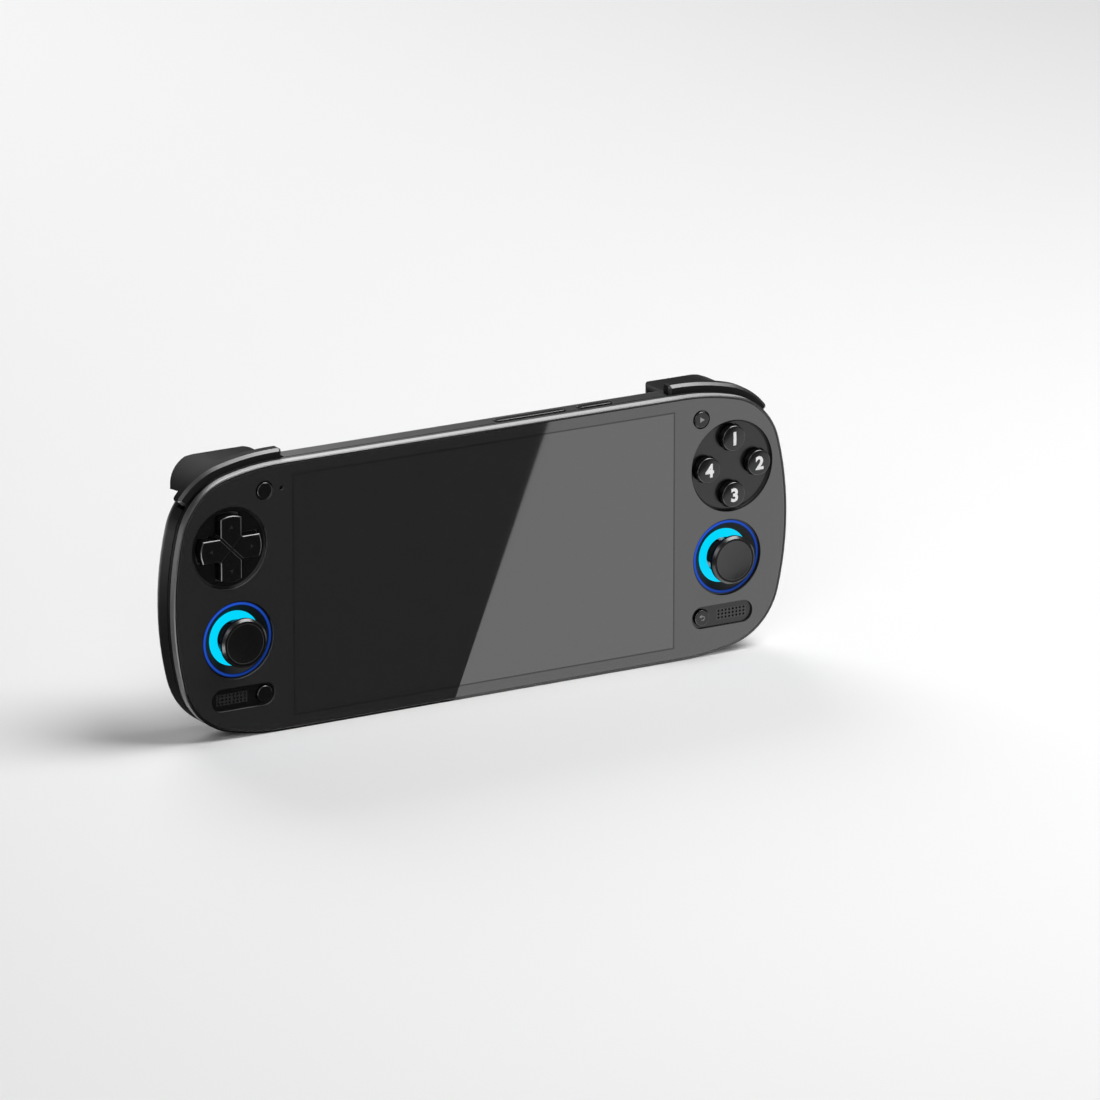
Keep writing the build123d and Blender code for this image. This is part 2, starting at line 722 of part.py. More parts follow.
with BuildPart() as rear_shell:
    with BuildSketch(face_plane(body_depth)):
        add(body_outline(rim_width))
    extrude(amount=body_depth - band_depth)
    fillet(rear_shell.edges().group_by(Axis.Y)[-1], back_edge_radius)
    with BuildSketch(face_plane(body_depth)):
        with Locations((grip_x, grip_z), (-grip_x, grip_z)):
            RectangleRounded(grip_width, grip_height, grip_width / 2 - grip_round)
    extrude(amount=-grip_rise, taper=grip_taper)
    fillet(rear_shell.edges().group_by(Axis.Y)[-1], grip_round)
    with BuildSketch(face_plane(band_depth + groove_width)):
        add(body_outline(rim_width + cut_overrun))
        add(body_outline(rim_width - groove_depth), mode=Mode.SUBTRACT)
    extrude(amount=groove_width, mode=Mode.SUBTRACT)
    add(shell_hollow.part, mode=Mode.SUBTRACT)
    with BuildSketch(face_plane(shell_floor_depth)):
        with Locations(*frame_screw_places):
            Circle(boss_radius)
    extrude(amount=shell_floor_depth - boss_meeting_depth)
    with BuildSketch(face_plane(body_depth)):
        with Locations(*frame_screw_places):
            Circle(screw_radius)
    extrude(amount=body_depth - boss_meeting_depth, mode=Mode.SUBTRACT)
    with BuildSketch(face_plane(body_depth)):
        with Locations(*frame_screw_places):
            Circle(screw_head_radius)
    extrude(amount=screw_head_height + screw_recess, mode=Mode.SUBTRACT)
    with BuildSketch(face_plane(shell_floor_depth)):
        with Locations(*lower_post_places):
            Circle(lower_post_radius)
    extrude(amount=shell_floor_depth - lower_board_front - lower_board_thickness)
    with BuildSketch(face_plane(body_depth)):
        with Locations(*intake_places):
            add(stadium(intake_slot_length, intake_slot_width))
        with Locations(*outlet_places):
            Rectangle(intake_slot_width, outlet_slot_length)
    extrude(amount=shell_wall, mode=Mode.SUBTRACT)
    with BuildSketch(level_plane(-inner_half_height)):
        with Locations((usb_x, port_depth)):
            add(stadium(usb_opening_width, usb_opening_thickness))
        with Locations((jack_x, port_depth)):
            Circle(jack_nose_radius + running_gap)
        with Locations((card_x, port_depth)):
            Rectangle(card_slot_width, card_slot_height)
    extrude(amount=-shell_wall - cut_overrun, mode=Mode.SUBTRACT)
    with BuildSketch(level_plane(key_board_top)):
        with Locations(*key_post_places):
            Rectangle(key_post_length, key_board_width)
    extrude(amount=inner_half_height - key_board_top)
    with BuildSketch(level_plane(inner_half_height)):
        with Locations((rocker_key_x, key_depth)):
            add(stadium(rocker_key_length + 2 * key_gap, key_width + 2 * key_gap))
        with Locations((power_key_x, key_depth)):
            add(stadium(power_key_length + 2 * key_gap, key_width + 2 * key_gap))
    extrude(amount=shell_wall + cut_overrun, mode=Mode.SUBTRACT)
    for side in (1, -1):
        corner_centre = (corner_centre_x * side, corner_centre_z)
        ray_far = polar((corner_centre_x, corner_centre_z), pocket_reach, pocket_ray_angle)
        with BuildSketch(face_plane(bracket_front + bracket_wall + seat_gap)):
            with BuildLine():
                Polyline(
                    (pocket_inner_x * side, corner_centre_z + corner_radius / 2),
                    (pocket_inner_x * side, pocket_reach + corner_radius),
                    (ray_far[0] * side, pocket_reach + corner_radius),
                    (ray_far[0] * side, ray_far[1]),
                    corner_centre,
                    close=True,
                )
            make_face()
        extrude(amount=bracket_front + bracket_wall + seat_gap - band_depth, mode=Mode.SUBTRACT)
        with BuildSketch(face_plane(body_depth + grip_rise)):
            with Locations((pocket_inner_x * side, pocket_low_z)):
                Rectangle(
                    pocket_reach,
                    pocket_reach,
                    align=(Align.MIN if side > 0 else Align.MAX, Align.MIN),
                )
        extrude(amount=body_depth + grip_rise - bracket_front - bracket_wall, mode=Mode.SUBTRACT)
pieces["rear_shell"] = rear_shell.part


# Screws that hold the rear shell to the mid frame, each with a cross recess
with BuildPart() as shell_screws:
    with BuildSketch(face_plane(body_depth - screw_recess)):
        with Locations(*frame_screw_places):
            Circle(screw_head_radius - running_gap)
    extrude(amount=screw_head_height)
    with BuildSketch(face_plane(body_depth - screw_recess)):
        with Locations(*frame_screw_places):
            Circle(screw_radius)
    extrude(amount=body_depth - screw_recess - web_depth)
    with BuildSketch(face_plane(body_depth - screw_recess)):
        with Locations(*frame_screw_places):
            Rectangle(screw_drive_length, screw_drive_width)
            Rectangle(screw_drive_width, screw_drive_length)
    extrude(amount=screw_drive_depth, mode=Mode.SUBTRACT)
pieces["shell_screws"] = shell_screws.part


# Round dish behind the glass with the cross-shaped opening for the direction pad
def dish_profile(flange_radius, hole_radius):
    """Half section of a dish: flange under the glass, face that curves down to a floor, flat back."""
    face_radius = hole_radius - seat_gap
    floor_radius = face_radius - dish_slope_width
    floor_depth = dish_edge_depth + dish_sink
    with BuildSketch() as half:
        with BuildLine():
            Polyline(
                (floor_radius, floor_depth),
                (0, floor_depth),
                (0, web_depth),
                (flange_radius, web_depth),
                (flange_radius, glass_thickness),
                (face_radius, glass_thickness),
                (face_radius, dish_edge_depth),
            )
            TangentArc((floor_radius, floor_depth), (face_radius, dish_edge_depth), tangent=(1, 0))
        make_face()
    return half.sketch


def cross_outline(grow=0.0):
    """Cross of two arms with bowed ends."""
    half_length = dpad_length / 2 + grow
    half_width = dpad_arm_width / 2 + grow
    shoulder = half_length - dpad_arm_bow
    with BuildSketch() as arm:
        with BuildLine():
            Line((-shoulder, half_width), (shoulder, half_width))
            ThreePointArc((shoulder, half_width), (half_length, 0), (shoulder, -half_width))
            Line((shoulder, -half_width), (-shoulder, -half_width))
            ThreePointArc((-shoulder, -half_width), (-half_length, 0), (-shoulder, half_width))
        make_face()
    with BuildSketch() as cross:
        add(arm.sketch)
        add(arm.sketch, rotation=90)
    return cross.sketch


with BuildPart() as dpad_dish:
    with BuildSketch(level_plane(dpad_z, dpad_x)):
        add(dish_profile(dpad_flange_radius, dpad_hole_radius))
    revolve(axis=depth_axis(dpad_x, dpad_z))
    with BuildSketch(face_plane(web_depth)):
        with Locations((dpad_x, dpad_z)):
            add(cross_outline(dpad_slot_gap))
    extrude(amount=web_depth, mode=Mode.SUBTRACT)
    with BuildSketch(face_plane(web_depth)):
        with Locations((dpad_x, dpad_z)):
            Circle(dpad_skirt_radius + dpad_recess_gap)
    extrude(amount=dpad_recess_depth, mode=Mode.SUBTRACT)
pieces["dpad_dish"] = dpad_dish.part


# Direction pad: cross with a diagonal groove, a skirt under the dish and a socket for the pivot ball
dpad_ball_centre = (dpad_x, glass_front_y + dpad_ball_depth, centre_height + dpad_z)
with BuildPart() as dpad_cross:
    with BuildSketch(face_plane(dpad_arm_bottom)):
        with Locations((dpad_x, dpad_z)):
            add(cross_outline())
    extrude(amount=dpad_arm_bottom + dpad_rise)
    fillet(dpad_cross.edges().group_by(Axis.Y)[0], dpad_edge_round)
    with BuildSketch(face_plane(dpad_groove_depth - dpad_rise)):
        with Locations((dpad_x, dpad_z)):
            Rectangle(dpad_groove_length, dpad_groove_width, rotation=45)
            Rectangle(dpad_groove_length, dpad_groove_width, rotation=-45)
    extrude(amount=dpad_groove_depth, mode=Mode.SUBTRACT)
    with BuildSketch(face_plane(dpad_skirt_back)):
        with Locations((dpad_x, dpad_z)):
            Circle(dpad_skirt_radius)
    extrude(amount=dpad_skirt_back - dpad_skirt_front)
    with BuildSketch(face_plane(dpad_skirt_front)):
        with Locations((dpad_x, dpad_z)):
            Circle(dpad_skirt_radius - dpad_slot_gap)
    extrude(amount=dpad_skirt_front - dpad_arm_bottom)
    with Locations(dpad_ball_centre):
        Sphere(dpad_ball_radius + running_gap, mode=Mode.SUBTRACT)
pieces["dpad_cross"] = dpad_cross.part

with BuildPart() as dpad_pivot_ball:
    with Locations(dpad_ball_centre):
        Sphere(dpad_ball_radius)
pieces["dpad_pivot_ball"] = dpad_pivot_ball.part


# Face buttons in their dish: a crowned cap, and a lip that stops under the dish
face_button_places = {
    "face_button_top": (face_x, face_z + face_spacing_radius),
    "face_button_right": (face_x + face_spacing_radius, face_z),
    "face_button_bottom": (face_x, face_z - face_spacing_radius),
    "face_button_left": (face_x - face_spacing_radius, face_z),
}
with BuildPart() as face_dish:
    with BuildSketch(level_plane(face_z, face_x)):
        add(dish_profile(face_flange_radius, face_hole_radius))
    revolve(axis=depth_axis(face_x, face_z))
    with BuildSketch(face_plane(web_depth)):
        with Locations(*face_button_places.values()):
            Circle(face_cap_hole_radius)
    extrude(amount=web_depth, mode=Mode.SUBTRACT)
pieces["face_dish"] = face_dish.part

for name, (place_x, place_z) in face_button_places.items():
    with BuildPart() as face_button:
        with BuildSketch(level_plane(place_z, place_x)):
            with BuildLine():
                ThreePointArc(
                    (0, -face_cap_rise),
                    (face_cap_radius / 2, face_cap_crown / 4 - face_cap_rise),
                    (face_cap_radius, face_cap_crown - face_cap_rise),
                )
                Polyline(
                    (face_cap_radius, face_cap_crown - face_cap_rise),
                    (face_cap_radius, face_lip_front),
                    (face_lip_radius, face_lip_front),
                    (face_lip_radius, face_lip_back),
                    (0, face_lip_back),
                    (0, -face_cap_rise),
                )
            make_face()
        revolve(axis=depth_axis(place_x, place_z))
        crown_edges = face_button.edges().filter_by(lambda edge: edge.is_closed).group_by(Axis.Y)[0]
        fillet(crown_edges, face_cap_round)
    pieces[name] = face_button.part


# Silicone membranes that lie on the control boards under the keys
with BuildPart() as face_membrane:
    with BuildSketch(face_plane(board_front)):
        with Locations((face_x, face_z)):
            Circle(face_web_hole_radius - membrane_margin)
    extrude(amount=board_front - membrane_front)
    with BuildSketch(face_plane(membrane_front)):
        with Locations(*face_button_places.values()):
            Circle(membrane_pad_radius)
    extrude(amount=membrane_pad_rise)
pieces["face_membrane"] = face_membrane.part

dpad_pad_reach = dpad_length / 2 - membrane_pad_radius
with BuildPart() as dpad_membrane:
    with BuildSketch(face_plane(board_front)):
        with Locations((dpad_x, dpad_z)):
            Circle(dpad_hole_radius - membrane_margin)
            Circle(dpad_post_radius + membrane_post_gap, mode=Mode.SUBTRACT)
    extrude(amount=board_front - membrane_front)
    with BuildSketch(face_plane(membrane_front)):
        with Locations((dpad_x, dpad_z)):
            with PolarLocations(dpad_pad_reach, 4):
                Circle(membrane_pad_radius)
    extrude(amount=membrane_pad_rise)
pieces["dpad_membrane"] = dpad_membrane.part


# Control boards: one behind each set of keys, with a hole for the stick; the left one has the pad's post
board_high_z = face_z + board_above_face
board_low_z = stick_z - board_below_stick
board_tab_z = menu_z + board_tab_rise
board_leg_z = pill_z - board_leg_drop
board_tab_width = board_tab_inner + board_tab_outer
with BuildPart() as right_control_board:
    with BuildSketch(face_plane(board_back)):
        with Locations((board_inner_x, board_high_z)):
            Rectangle(pocket_reach, board_high_z - board_low_z, align=(Align.MIN, Align.MAX))
        with Locations((menu_x - board_tab_inner, board_tab_z)):
            Rectangle(board_tab_width, board_tab_z - board_leg_z, align=(Align.MIN, Align.MAX))
        add(body_outline(-board_edge_inset), mode=Mode.INTERSECT)
        with Locations((stick_x, stick_z)):
            Circle(base_size / 2, mode=Mode.SUBTRACT)
    extrude(amount=board_thickness)
pieces["right_control_board"] = right_control_board.part

with BuildPart() as left_control_board:
    add(mirrored(right_control_board.part))
    with BuildSketch(face_plane(board_front)):
        with Locations((dpad_x, dpad_z)):
            Circle(dpad_post_radius)
    extrude(amount=board_front - dpad_post_front)
    with Locations(dpad_ball_centre):
        Sphere(dpad_ball_radius + running_gap, mode=Mode.SUBTRACT)
pieces["left_control_board"] = left_control_board.part


# Stick wells: a dark funnel behind the glass with seats for the blue ring and the cyan disc
with BuildPart() as right_stick_well:
    with BuildSketch(level_plane(stick_z, stick_x)):
        with BuildLine():
            Polyline(
                (well_flange_radius, glass_thickness),
                (ring_outer_radius, glass_thickness),
                (ring_outer_radius, ring_back),
                (ring_inner_radius, ring_back),
                (glow_radius, glow_front),
                (glow_radius, glow_back),
                (glow_seat_radius, glow_back),
                (glow_seat_radius, well_back),
                (well_body_radius, well_back),
                (well_body_radius, web_depth),
                (well_flange_radius, web_depth),
                close=True,
            )
        make_face()
    revolve(axis=depth_axis(stick_x, stick_z))

with BuildPart() as right_light_ring:
    with BuildSketch(face_plane(ring_back)):
        with Locations((stick_x, stick_z)):
            Circle(ring_outer_radius)
            Circle(ring_inner_radius, mode=Mode.SUBTRACT)
    extrude(amount=ring_back - ring_front)

with BuildPart() as right_glow_disc:
    with BuildSketch(face_plane(glow_back)):
        with Locations((stick_x, stick_z)):
            Circle(glow_radius)
            Circle(glow_hole_radius, mode=Mode.SUBTRACT)
    extrude(amount=glow_back - glow_front)


# Stick module: an open box on the back of the control board
with BuildPart() as right_stick_base:
    with BuildSketch(face_plane(base_back)):
        with Locations((stick_x, stick_z)):
            Rectangle(base_size, base_size)
    extrude(amount=base_back - board_back)
    with BuildSketch(face_plane(base_back - base_floor)):
        with Locations((stick_x, stick_z)):
            Rectangle(base_size - 2 * base_wall, base_size - 2 * base_wall)
    extrude(amount=base_back - base_floor - board_back, mode=Mode.SUBTRACT)
    with BuildSketch(side_plane(stick_x - base_size)):
        with Locations((stick_pivot_depth, stick_z)):
            Circle(yoke_pin_radius + running_gap)
    extrude(amount=2 * base_size, mode=Mode.SUBTRACT)
pieces["right_stick_base"] = right_stick_base.part

# Outer gimbal ring: turns in the box about a level axis
with BuildPart() as right_stick_yoke:
    with BuildSketch(face_plane(stick_pivot_depth + yoke_height / 2)):
        with Locations((stick_x, stick_z)):
            Circle(yoke_outer_radius)
            Circle(yoke_inner_radius, mode=Mode.SUBTRACT)
    extrude(amount=yoke_height)
    yoke_pin_start = (yoke_inner_radius + yoke_outer_radius) / 2
    for side in (1, -1):
        with BuildSketch(side_plane(stick_x + side * yoke_pin_start)):
            with Locations((stick_pivot_depth, stick_z)):
                Circle(yoke_pin_radius)
        extrude(amount=side * (base_size / 2 - yoke_pin_start))
    with BuildSketch(level_plane(stick_z - yoke_outer_radius)):
        with Locations((stick_x, stick_pivot_depth)):
            Circle(rocker_pin_radius + running_gap)
    extrude(amount=2 * yoke_outer_radius, mode=Mode.SUBTRACT)
pieces["right_stick_yoke"] = right_stick_yoke.part

# Inner gimbal block: turns in the ring about the upright axis and guides the shaft
rocker_pin_reach = (yoke_inner_radius + yoke_outer_radius) / 2
with BuildPart() as right_stick_rocker:
    with BuildSketch(face_plane(stick_pivot_depth + rocker_height / 2)):
        with Locations((stick_x, stick_z)):
            Circle(rocker_radius)
    extrude(amount=rocker_height)
    with BuildSketch(level_plane(stick_z - rocker_pin_reach)):
        with Locations((stick_x, stick_pivot_depth)):
            Circle(rocker_pin_radius)
    extrude(amount=2 * rocker_pin_reach)
    with BuildSketch(face_plane(stick_pivot_depth + rocker_radius)):
        with Locations((stick_x, stick_z)):
            Circle(shaft_radius + running_gap)
    extrude(amount=2 * rocker_radius, mode=Mode.SUBTRACT)
pieces["right_stick_rocker"] = right_stick_rocker.part

# Shaft: clicks in through the gimbal block and carries the cap
with BuildPart() as right_stick_shaft:
    with BuildSketch(face_plane(stick_pivot_depth + shaft_tail)):
        with Locations((stick_x, stick_z)):
            Circle(shaft_radius)
    extrude(amount=stick_pivot_depth + shaft_tail + shaft_front_rise)
pieces["right_stick_shaft"] = right_stick_shaft.part


# Stick cap: hollow-topped disc, waist, neck and the round skirt that covers the gimbal
def skirt_depth(sphere_radius, radius):
    """Depth of a point on a sphere about the stick's pivot, at a radius from the stick's axis."""
    return stick_pivot_depth - sqrt(sphere_radius**2 - radius**2)


skirt_outer_edge = (
    skirt_radius * sin(radians(skirt_angle)),
    stick_pivot_depth - skirt_radius * cos(radians(skirt_angle)),
)
skirt_inner_radius = skirt_radius - skirt_wall
skirt_inner_edge = (
    skirt_inner_radius * sin(radians(skirt_angle)),
    stick_pivot_depth - skirt_inner_radius * cos(radians(skirt_angle)),
)
skirt_middle = (neck_radius + skirt_outer_edge[0]) / 2
skirt_inner_middle = (shaft_radius + skirt_inner_edge[0]) / 2
with BuildPart() as right_stick_cap:
    with BuildSketch(level_plane(stick_z, stick_x)):
        with BuildLine():
            ThreePointArc(
                (0, cap_dish_depth - cap_rise),
                (cap_dish_radius / 2, cap_dish_depth * 3 / 4 - cap_rise),
                (cap_dish_radius, -cap_rise),
            )
            Polyline(
                (cap_dish_radius, -cap_rise),
                (cap_radius - cap_rim_round, -cap_rise),
                (cap_radius, cap_rim_round - cap_rise),
                (cap_radius, cap_side_height - cap_rise),
                (cap_waist_radius, -cap_waist_rise),
                (neck_radius, -neck_front_rise),
                (neck_radius, skirt_depth(skirt_radius, neck_radius)),
            )
            ThreePointArc(
                (neck_radius, skirt_depth(skirt_radius, neck_radius)),
                (skirt_middle, skirt_depth(skirt_radius, skirt_middle)),
                skirt_outer_edge,
            )
            Line(skirt_outer_edge, skirt_inner_edge)
            ThreePointArc(
                skirt_inner_edge,
                (skirt_inner_middle, skirt_depth(skirt_inner_radius, skirt_inner_middle)),
                (shaft_radius, skirt_depth(skirt_inner_radius, shaft_radius)),
            )
            Polyline(
                (shaft_radius, skirt_depth(skirt_inner_radius, shaft_radius)),
                (shaft_radius, -shaft_front_rise),
                (0, -shaft_front_rise),
                (0, cap_dish_depth - cap_rise),
            )
        make_face()
    revolve(axis=depth_axis(stick_x, stick_z))
pieces["right_stick_cap"] = right_stick_cap.part


# Small round buttons: cap, lip behind what holds it in, and stem towards the board
def small_button(place, button_radius, lip_radius, lip_front):
    """Small round button at a place on the front, its lip starting at a depth."""
    lip_back = lip_front + small_lip_thickness
    with BuildPart() as button:
        with BuildSketch(face_plane(lip_back)):
            with Locations(place):
                Circle(button_radius)
        extrude(amount=lip_back + small_cap_rise)
        fillet(button.edges().group_by(Axis.Y)[0], small_cap_round)
        with BuildSketch(face_plane(lip_back)):
            with Locations(place):
                Circle(lip_radius)
        extrude(amount=small_lip_thickness)
        with BuildSketch(face_plane(small_stem_back)):
            with Locations(place):
                Circle(small_stem_radius)
        extrude(amount=small_stem_back - lip_back)
    return button.part


menu_lip_front = glass_thickness + key_seat_gap
pill_lip_front = pill_plate_back + key_seat_gap
pieces["right_menu_button"] = small_button(
    (menu_x, menu_z), small_cap_radius, small_lip_radius, menu_lip_front
)
pieces["right_pill_button"] = small_button(
    (pill_button_x, pill_z), pill_button_radius, pill_lip_radius, pill_lip_front
)


# Pill plates: stadium trim behind the glass with the speaker grille and the hole of the lower button
grille_places = [
    (
        grille_x + (column - (grille_columns - 1) / 2) * grille_pitch_x,
        pill_z + (row - (grille_rows - 1) / 2) * grille_pitch_z,
    )
    for column in range(grille_columns)
    for row in range(grille_rows)
]
with BuildPart() as right_pill_plate:
    with BuildSketch(face_plane(pill_plate_back)):
        with Locations((pill_x, pill_z)):
            add(stadium(pill_length + 2 * pill_flange, pill_width + 2 * pill_flange))
        with Locations((pill_button_x, pill_z)):
            Circle(pill_button_hole_radius, mode=Mode.SUBTRACT)
        with Locations(*grille_places):
            Circle(grille_hole_radius, mode=Mode.SUBTRACT)
    extrude(amount=pill_plate_back - glass_thickness)
pieces["right_pill_plate"] = right_pill_plate.part


# Speaker under each grille, standing on the web's edge
with BuildPart() as right_speaker:
    with BuildSketch(face_plane(speaker_back)):
        with Locations((speaker_x, pill_z)):
            RectangleRounded(speaker_length, speaker_width, speaker_corner)
    extrude(amount=speaker_back - web_back)


# Shoulder key: a bar along the corner with a bright front chamfer, and a foot with the hinge hole
bumper_far = pocket_reach + corner_radius
bumper_ray = polar((corner_centre_x, corner_centre_z), pocket_reach, bumper_end_angle)
with BuildPart() as right_bumper:
    with BuildSketch(face_plane(bumper_back)) as bumper_bar:
        add(body_outline(bumper_grow))
        add(body_outline(-bumper_inset), mode=Mode.SUBTRACT)
        with BuildLine():
            Polyline(
                (bumper_inner_x, corner_centre_z),
                (bumper_inner_x, bumper_far),
                (bumper_ray[0], bumper_far),
                bumper_ray,
                (corner_centre_x, corner_centre_z),
                close=True,
            )
        make_face(mode=Mode.INTERSECT)
        fillet(bumper_bar.vertices().group_by(Axis.X)[-1], bumper_corner)
        fillet(bumper_bar.vertices().group_by(Axis.X)[0].sort_by(Axis.Y)[-1], bumper_corner)
    extrude(amount=bumper_back - bumper_front)
    chamfer(right_bumper.edges().group_by(Axis.Y)[0].sort_by(Axis.Z)[-2:], bumper_chamfer)
    with BuildSketch(face_plane(foot_back)):
        with Locations((bumper_inner_x + foot_left_margin, foot_low_z)):
            Rectangle(
                foot_outer_x - bumper_inner_x - foot_left_margin,
                seam_half_height - bumper_inset - foot_low_z,
                align=(Align.MIN, Align.MIN),
            )
    extrude(amount=foot_back - bumper_front)
    with BuildSketch(face_plane(bumper_back)):
        with Locations((bumper_pin_x, bumper_pin_z)):
            Circle(bumper_pin_radius + running_gap)
    extrude(amount=bumper_back - bumper_front, mode=Mode.SUBTRACT)
pieces["right_bumper"] = right_bumper.part


# Trigger: hollow lobe, open below and in front, with a lip that closes the gap above the shoulder key
def trigger_lobe(radius, end_wall):
    """Front view of the lobe: an arc about the body's corner, flattening towards the inner end."""
    drop = trigger_radius - radius
    inner_x = trigger_inner_x + end_wall
    corner_centre = (corner_centre_x, corner_centre_z)
    top = polar(corner_centre, radius, 90)
    end = polar(corner_centre, radius, 0)
    with BuildSketch() as lobe:
        with BuildLine():
            CenterArc(corner_centre, radius, 0, 90)
            ThreePointArc(
                top,
                (trigger_middle_x, trigger_middle_z - drop),
                (inner_x, trigger_inner_z - drop),
            )
            Polyline(
                (inner_x, trigger_inner_z - drop),
                (inner_x, corner_centre_z),
                end,
            )
        make_face()
        fillet(lobe.vertices().group_by(Axis.X)[0].sort_by(Axis.Y)[-1], trigger_end_round - end_wall)
    return lobe.sketch


def trigger_side(inset):
    """Side view of the lobe, drawn in by inset: sloping front foot, flat top and round back."""
    crown = trigger_radius + corner_centre_z + cut_overrun
    with BuildSketch() as profile:
        with BuildLine():
            Polyline(
                (trigger_slope_depth - inset, trigger_low_z - inset),
                (trigger_front + inset, trigger_slope_z),
                (trigger_front + inset, crown),
                (trigger_top_depth, crown),
                (trigger_top_depth, trigger_radius + corner_centre_z - inset),
            )
            TangentArc(
                (trigger_top_depth, trigger_radius + corner_centre_z - inset),
                (trigger_back - inset, trigger_back_z),
                tangent=(1, 0),
            )
            Polyline(
                (trigger_back - inset, trigger_back_z),
                (trigger_back_low - inset, trigger_back_low_z - inset),
                (trigger_slope_depth - inset, trigger_low_z - inset),
            )
        make_face()
    return profile.sketch


def trigger_plan(inset):
    """Plan of the lobe, drawn in by inset: both far corners are round, the outer one widely."""
    inner_x = trigger_inner_x + inset
    outer_x = corner_centre_x + trigger_round_reach - inset
    inner_flat = (trigger_inner_x + trigger_inner_round, trigger_back - inset)
    inner_end = (inner_x, trigger_back - trigger_inner_round_depth)
    inner_middle = (
        inner_flat[0] - (inner_flat[0] - inner_x) * cos(radians(45)),
        inner_end[1] + (inner_flat[1] - inner_end[1]) * sin(radians(45)),
    )
    outer_flat = (corner_centre_x + trigger_flat_reach, trigger_back - inset)
    with BuildSketch() as plan:
        with BuildLine():
            ThreePointArc(inner_flat, inner_middle, inner_end)
            Polyline(
                inner_end,
                (inner_x, 0),
                (trigger_radius + outer_x, 0),
                (outer_x, trigger_back - trigger_outer_round),
            )
            TangentArc(outer_flat, (outer_x, trigger_back - trigger_outer_round), tangent=(1, 0))
            Line(inner_flat, outer_flat)
        make_face()
    return plan.sketch


trigger_span = trigger_radius + corner_centre_x
with BuildPart() as trigger_hollow:
    with BuildSketch(face_plane(trigger_back)):
        add(trigger_lobe(trigger_radius - trigger_wall, trigger_wall))
    extrude(amount=trigger_back - trigger_front - trigger_wall)
    with BuildSketch(side_plane(0)):
        add(trigger_side(trigger_wall))
        Rectangle(trigger_back_low - trigger_wall, trigger_back_z, align=(Align.MIN, Align.MIN))
    extrude(amount=trigger_span, mode=Mode.INTERSECT)
    with BuildSketch(level_plane(0)):
        add(trigger_plan(trigger_wall))
    extrude(amount=trigger_span, mode=Mode.INTERSECT)
with BuildPart() as trigger_mouth:
    with BuildSketch(face_plane(trigger_front + trigger_wall)):
        add(trigger_lobe(trigger_lip_radius, trigger_wall))
    extrude(amount=trigger_front)
with BuildPart() as right_trigger:
    with BuildSketch(face_plane(trigger_back)):
        add(trigger_lobe(trigger_radius, 0))
    extrude(amount=trigger_back)
    with BuildSketch(side_plane(0)):
        add(trigger_side(0))
    extrude(amount=trigger_span, mode=Mode.INTERSECT)
    with BuildSketch(level_plane(0)):
        add(trigger_plan(0))
    extrude(amount=trigger_span, mode=Mode.INTERSECT)
    add(trigger_hollow.part, mode=Mode.SUBTRACT)
    add(trigger_mouth.part, mode=Mode.SUBTRACT)
    with BuildSketch(side_plane(trigger_boss_ends[0])):
        with Locations((trigger_pin_depth, trigger_pin_z)):
            Circle(trigger_boss_radius)
            Rectangle(trigger_web_depth, trigger_inner_z - trigger_pin_z, align=(Align.CENTER, Align.MIN))
            Circle(trigger_pin_radius + running_gap, mode=Mode.SUBTRACT)
    extrude(amount=trigger_boss_ends[1] - trigger_boss_ends[0])
pieces["right_trigger"] = right_trigger.part


# Return spring coiled round the trigger's pin
spring_length = spring_ends[1] - spring_ends[0] - 2 * spring_wire_radius
spring_start = (
    spring_ends[0] + spring_wire_radius,
    glass_front_y + trigger_pin_depth,
    centre_height + trigger_pin_z,
)
with BuildPart() as right_trigger_spring:
    with BuildLine() as spring_path:
        Helix(spring_length / spring_turns, spring_length, spring_radius, spring_start, (1, 0, 0))
    with BuildSketch(Plane(origin=spring_path.line @ 0, z_dir=spring_path.line % 0)):
        Circle(spring_wire_radius)
    sweep(is_frenet=True)
pieces["right_trigger_spring"] = right_trigger_spring.part


# Bracket in the corner: front wall, floor of the trigger's pocket, shelf under the key, two ears
with BuildPart() as right_shoulder_bracket:
    with BuildSketch(face_plane(bracket_front + bracket_wall)):
        with Locations((bracket_inner_x, bracket_floor_z - bracket_wall)):
            Rectangle(
                bracket_outer_x - bracket_inner_x, corner_radius, align=(Align.MIN, Align.MIN)
            )
        add(body_outline(-bracket_inset), mode=Mode.INTERSECT)
    extrude(amount=bracket_wall)
    with BuildSketch(face_plane(shell_floor_depth)):
        with Locations((bracket_inner_x, bracket_floor_z)):
            Rectangle(outer_ear[1] - bracket_inner_x, bracket_wall, align=(Align.MIN, Align.MAX))
    extrude(amount=shell_floor_depth - bracket_front)
    with BuildSketch(face_plane(bracket_front)):
        add(body_outline(-bracket_inset))
        add(body_outline(-bracket_inset - bracket_wall), mode=Mode.SUBTRACT)
        with Locations((foot_outer_x + bracket_wall, bracket_floor_z)):
            Rectangle(
                bracket_outer_x - foot_outer_x - bracket_wall,
                corner_radius,
                align=(Align.MIN, Align.MIN),
                mode=Mode.INTERSECT,
            )
    extrude(amount=bracket_front - bracket_shelf_front)
    for ear in (inner_ear, outer_ear):
        with BuildSketch(side_plane(ear[0])):
            with Locations((trigger_pin_depth, trigger_pin_z)):
                Circle(ear_radius)
                Rectangle(
                    2 * ear_radius, trigger_pin_z - bracket_floor_z, align=(Align.CENTER, Align.MAX)
                )
                Circle(trigger_pin_radius, mode=Mode.SUBTRACT)
        extrude(amount=ear[1] - ear[0])
    with BuildSketch(face_plane(bumper_pin_back)):
        with Locations((bumper_pin_x, bumper_pin_z)):
            Circle(bumper_pin_radius)
    extrude(amount=bumper_pin_back, mode=Mode.SUBTRACT)
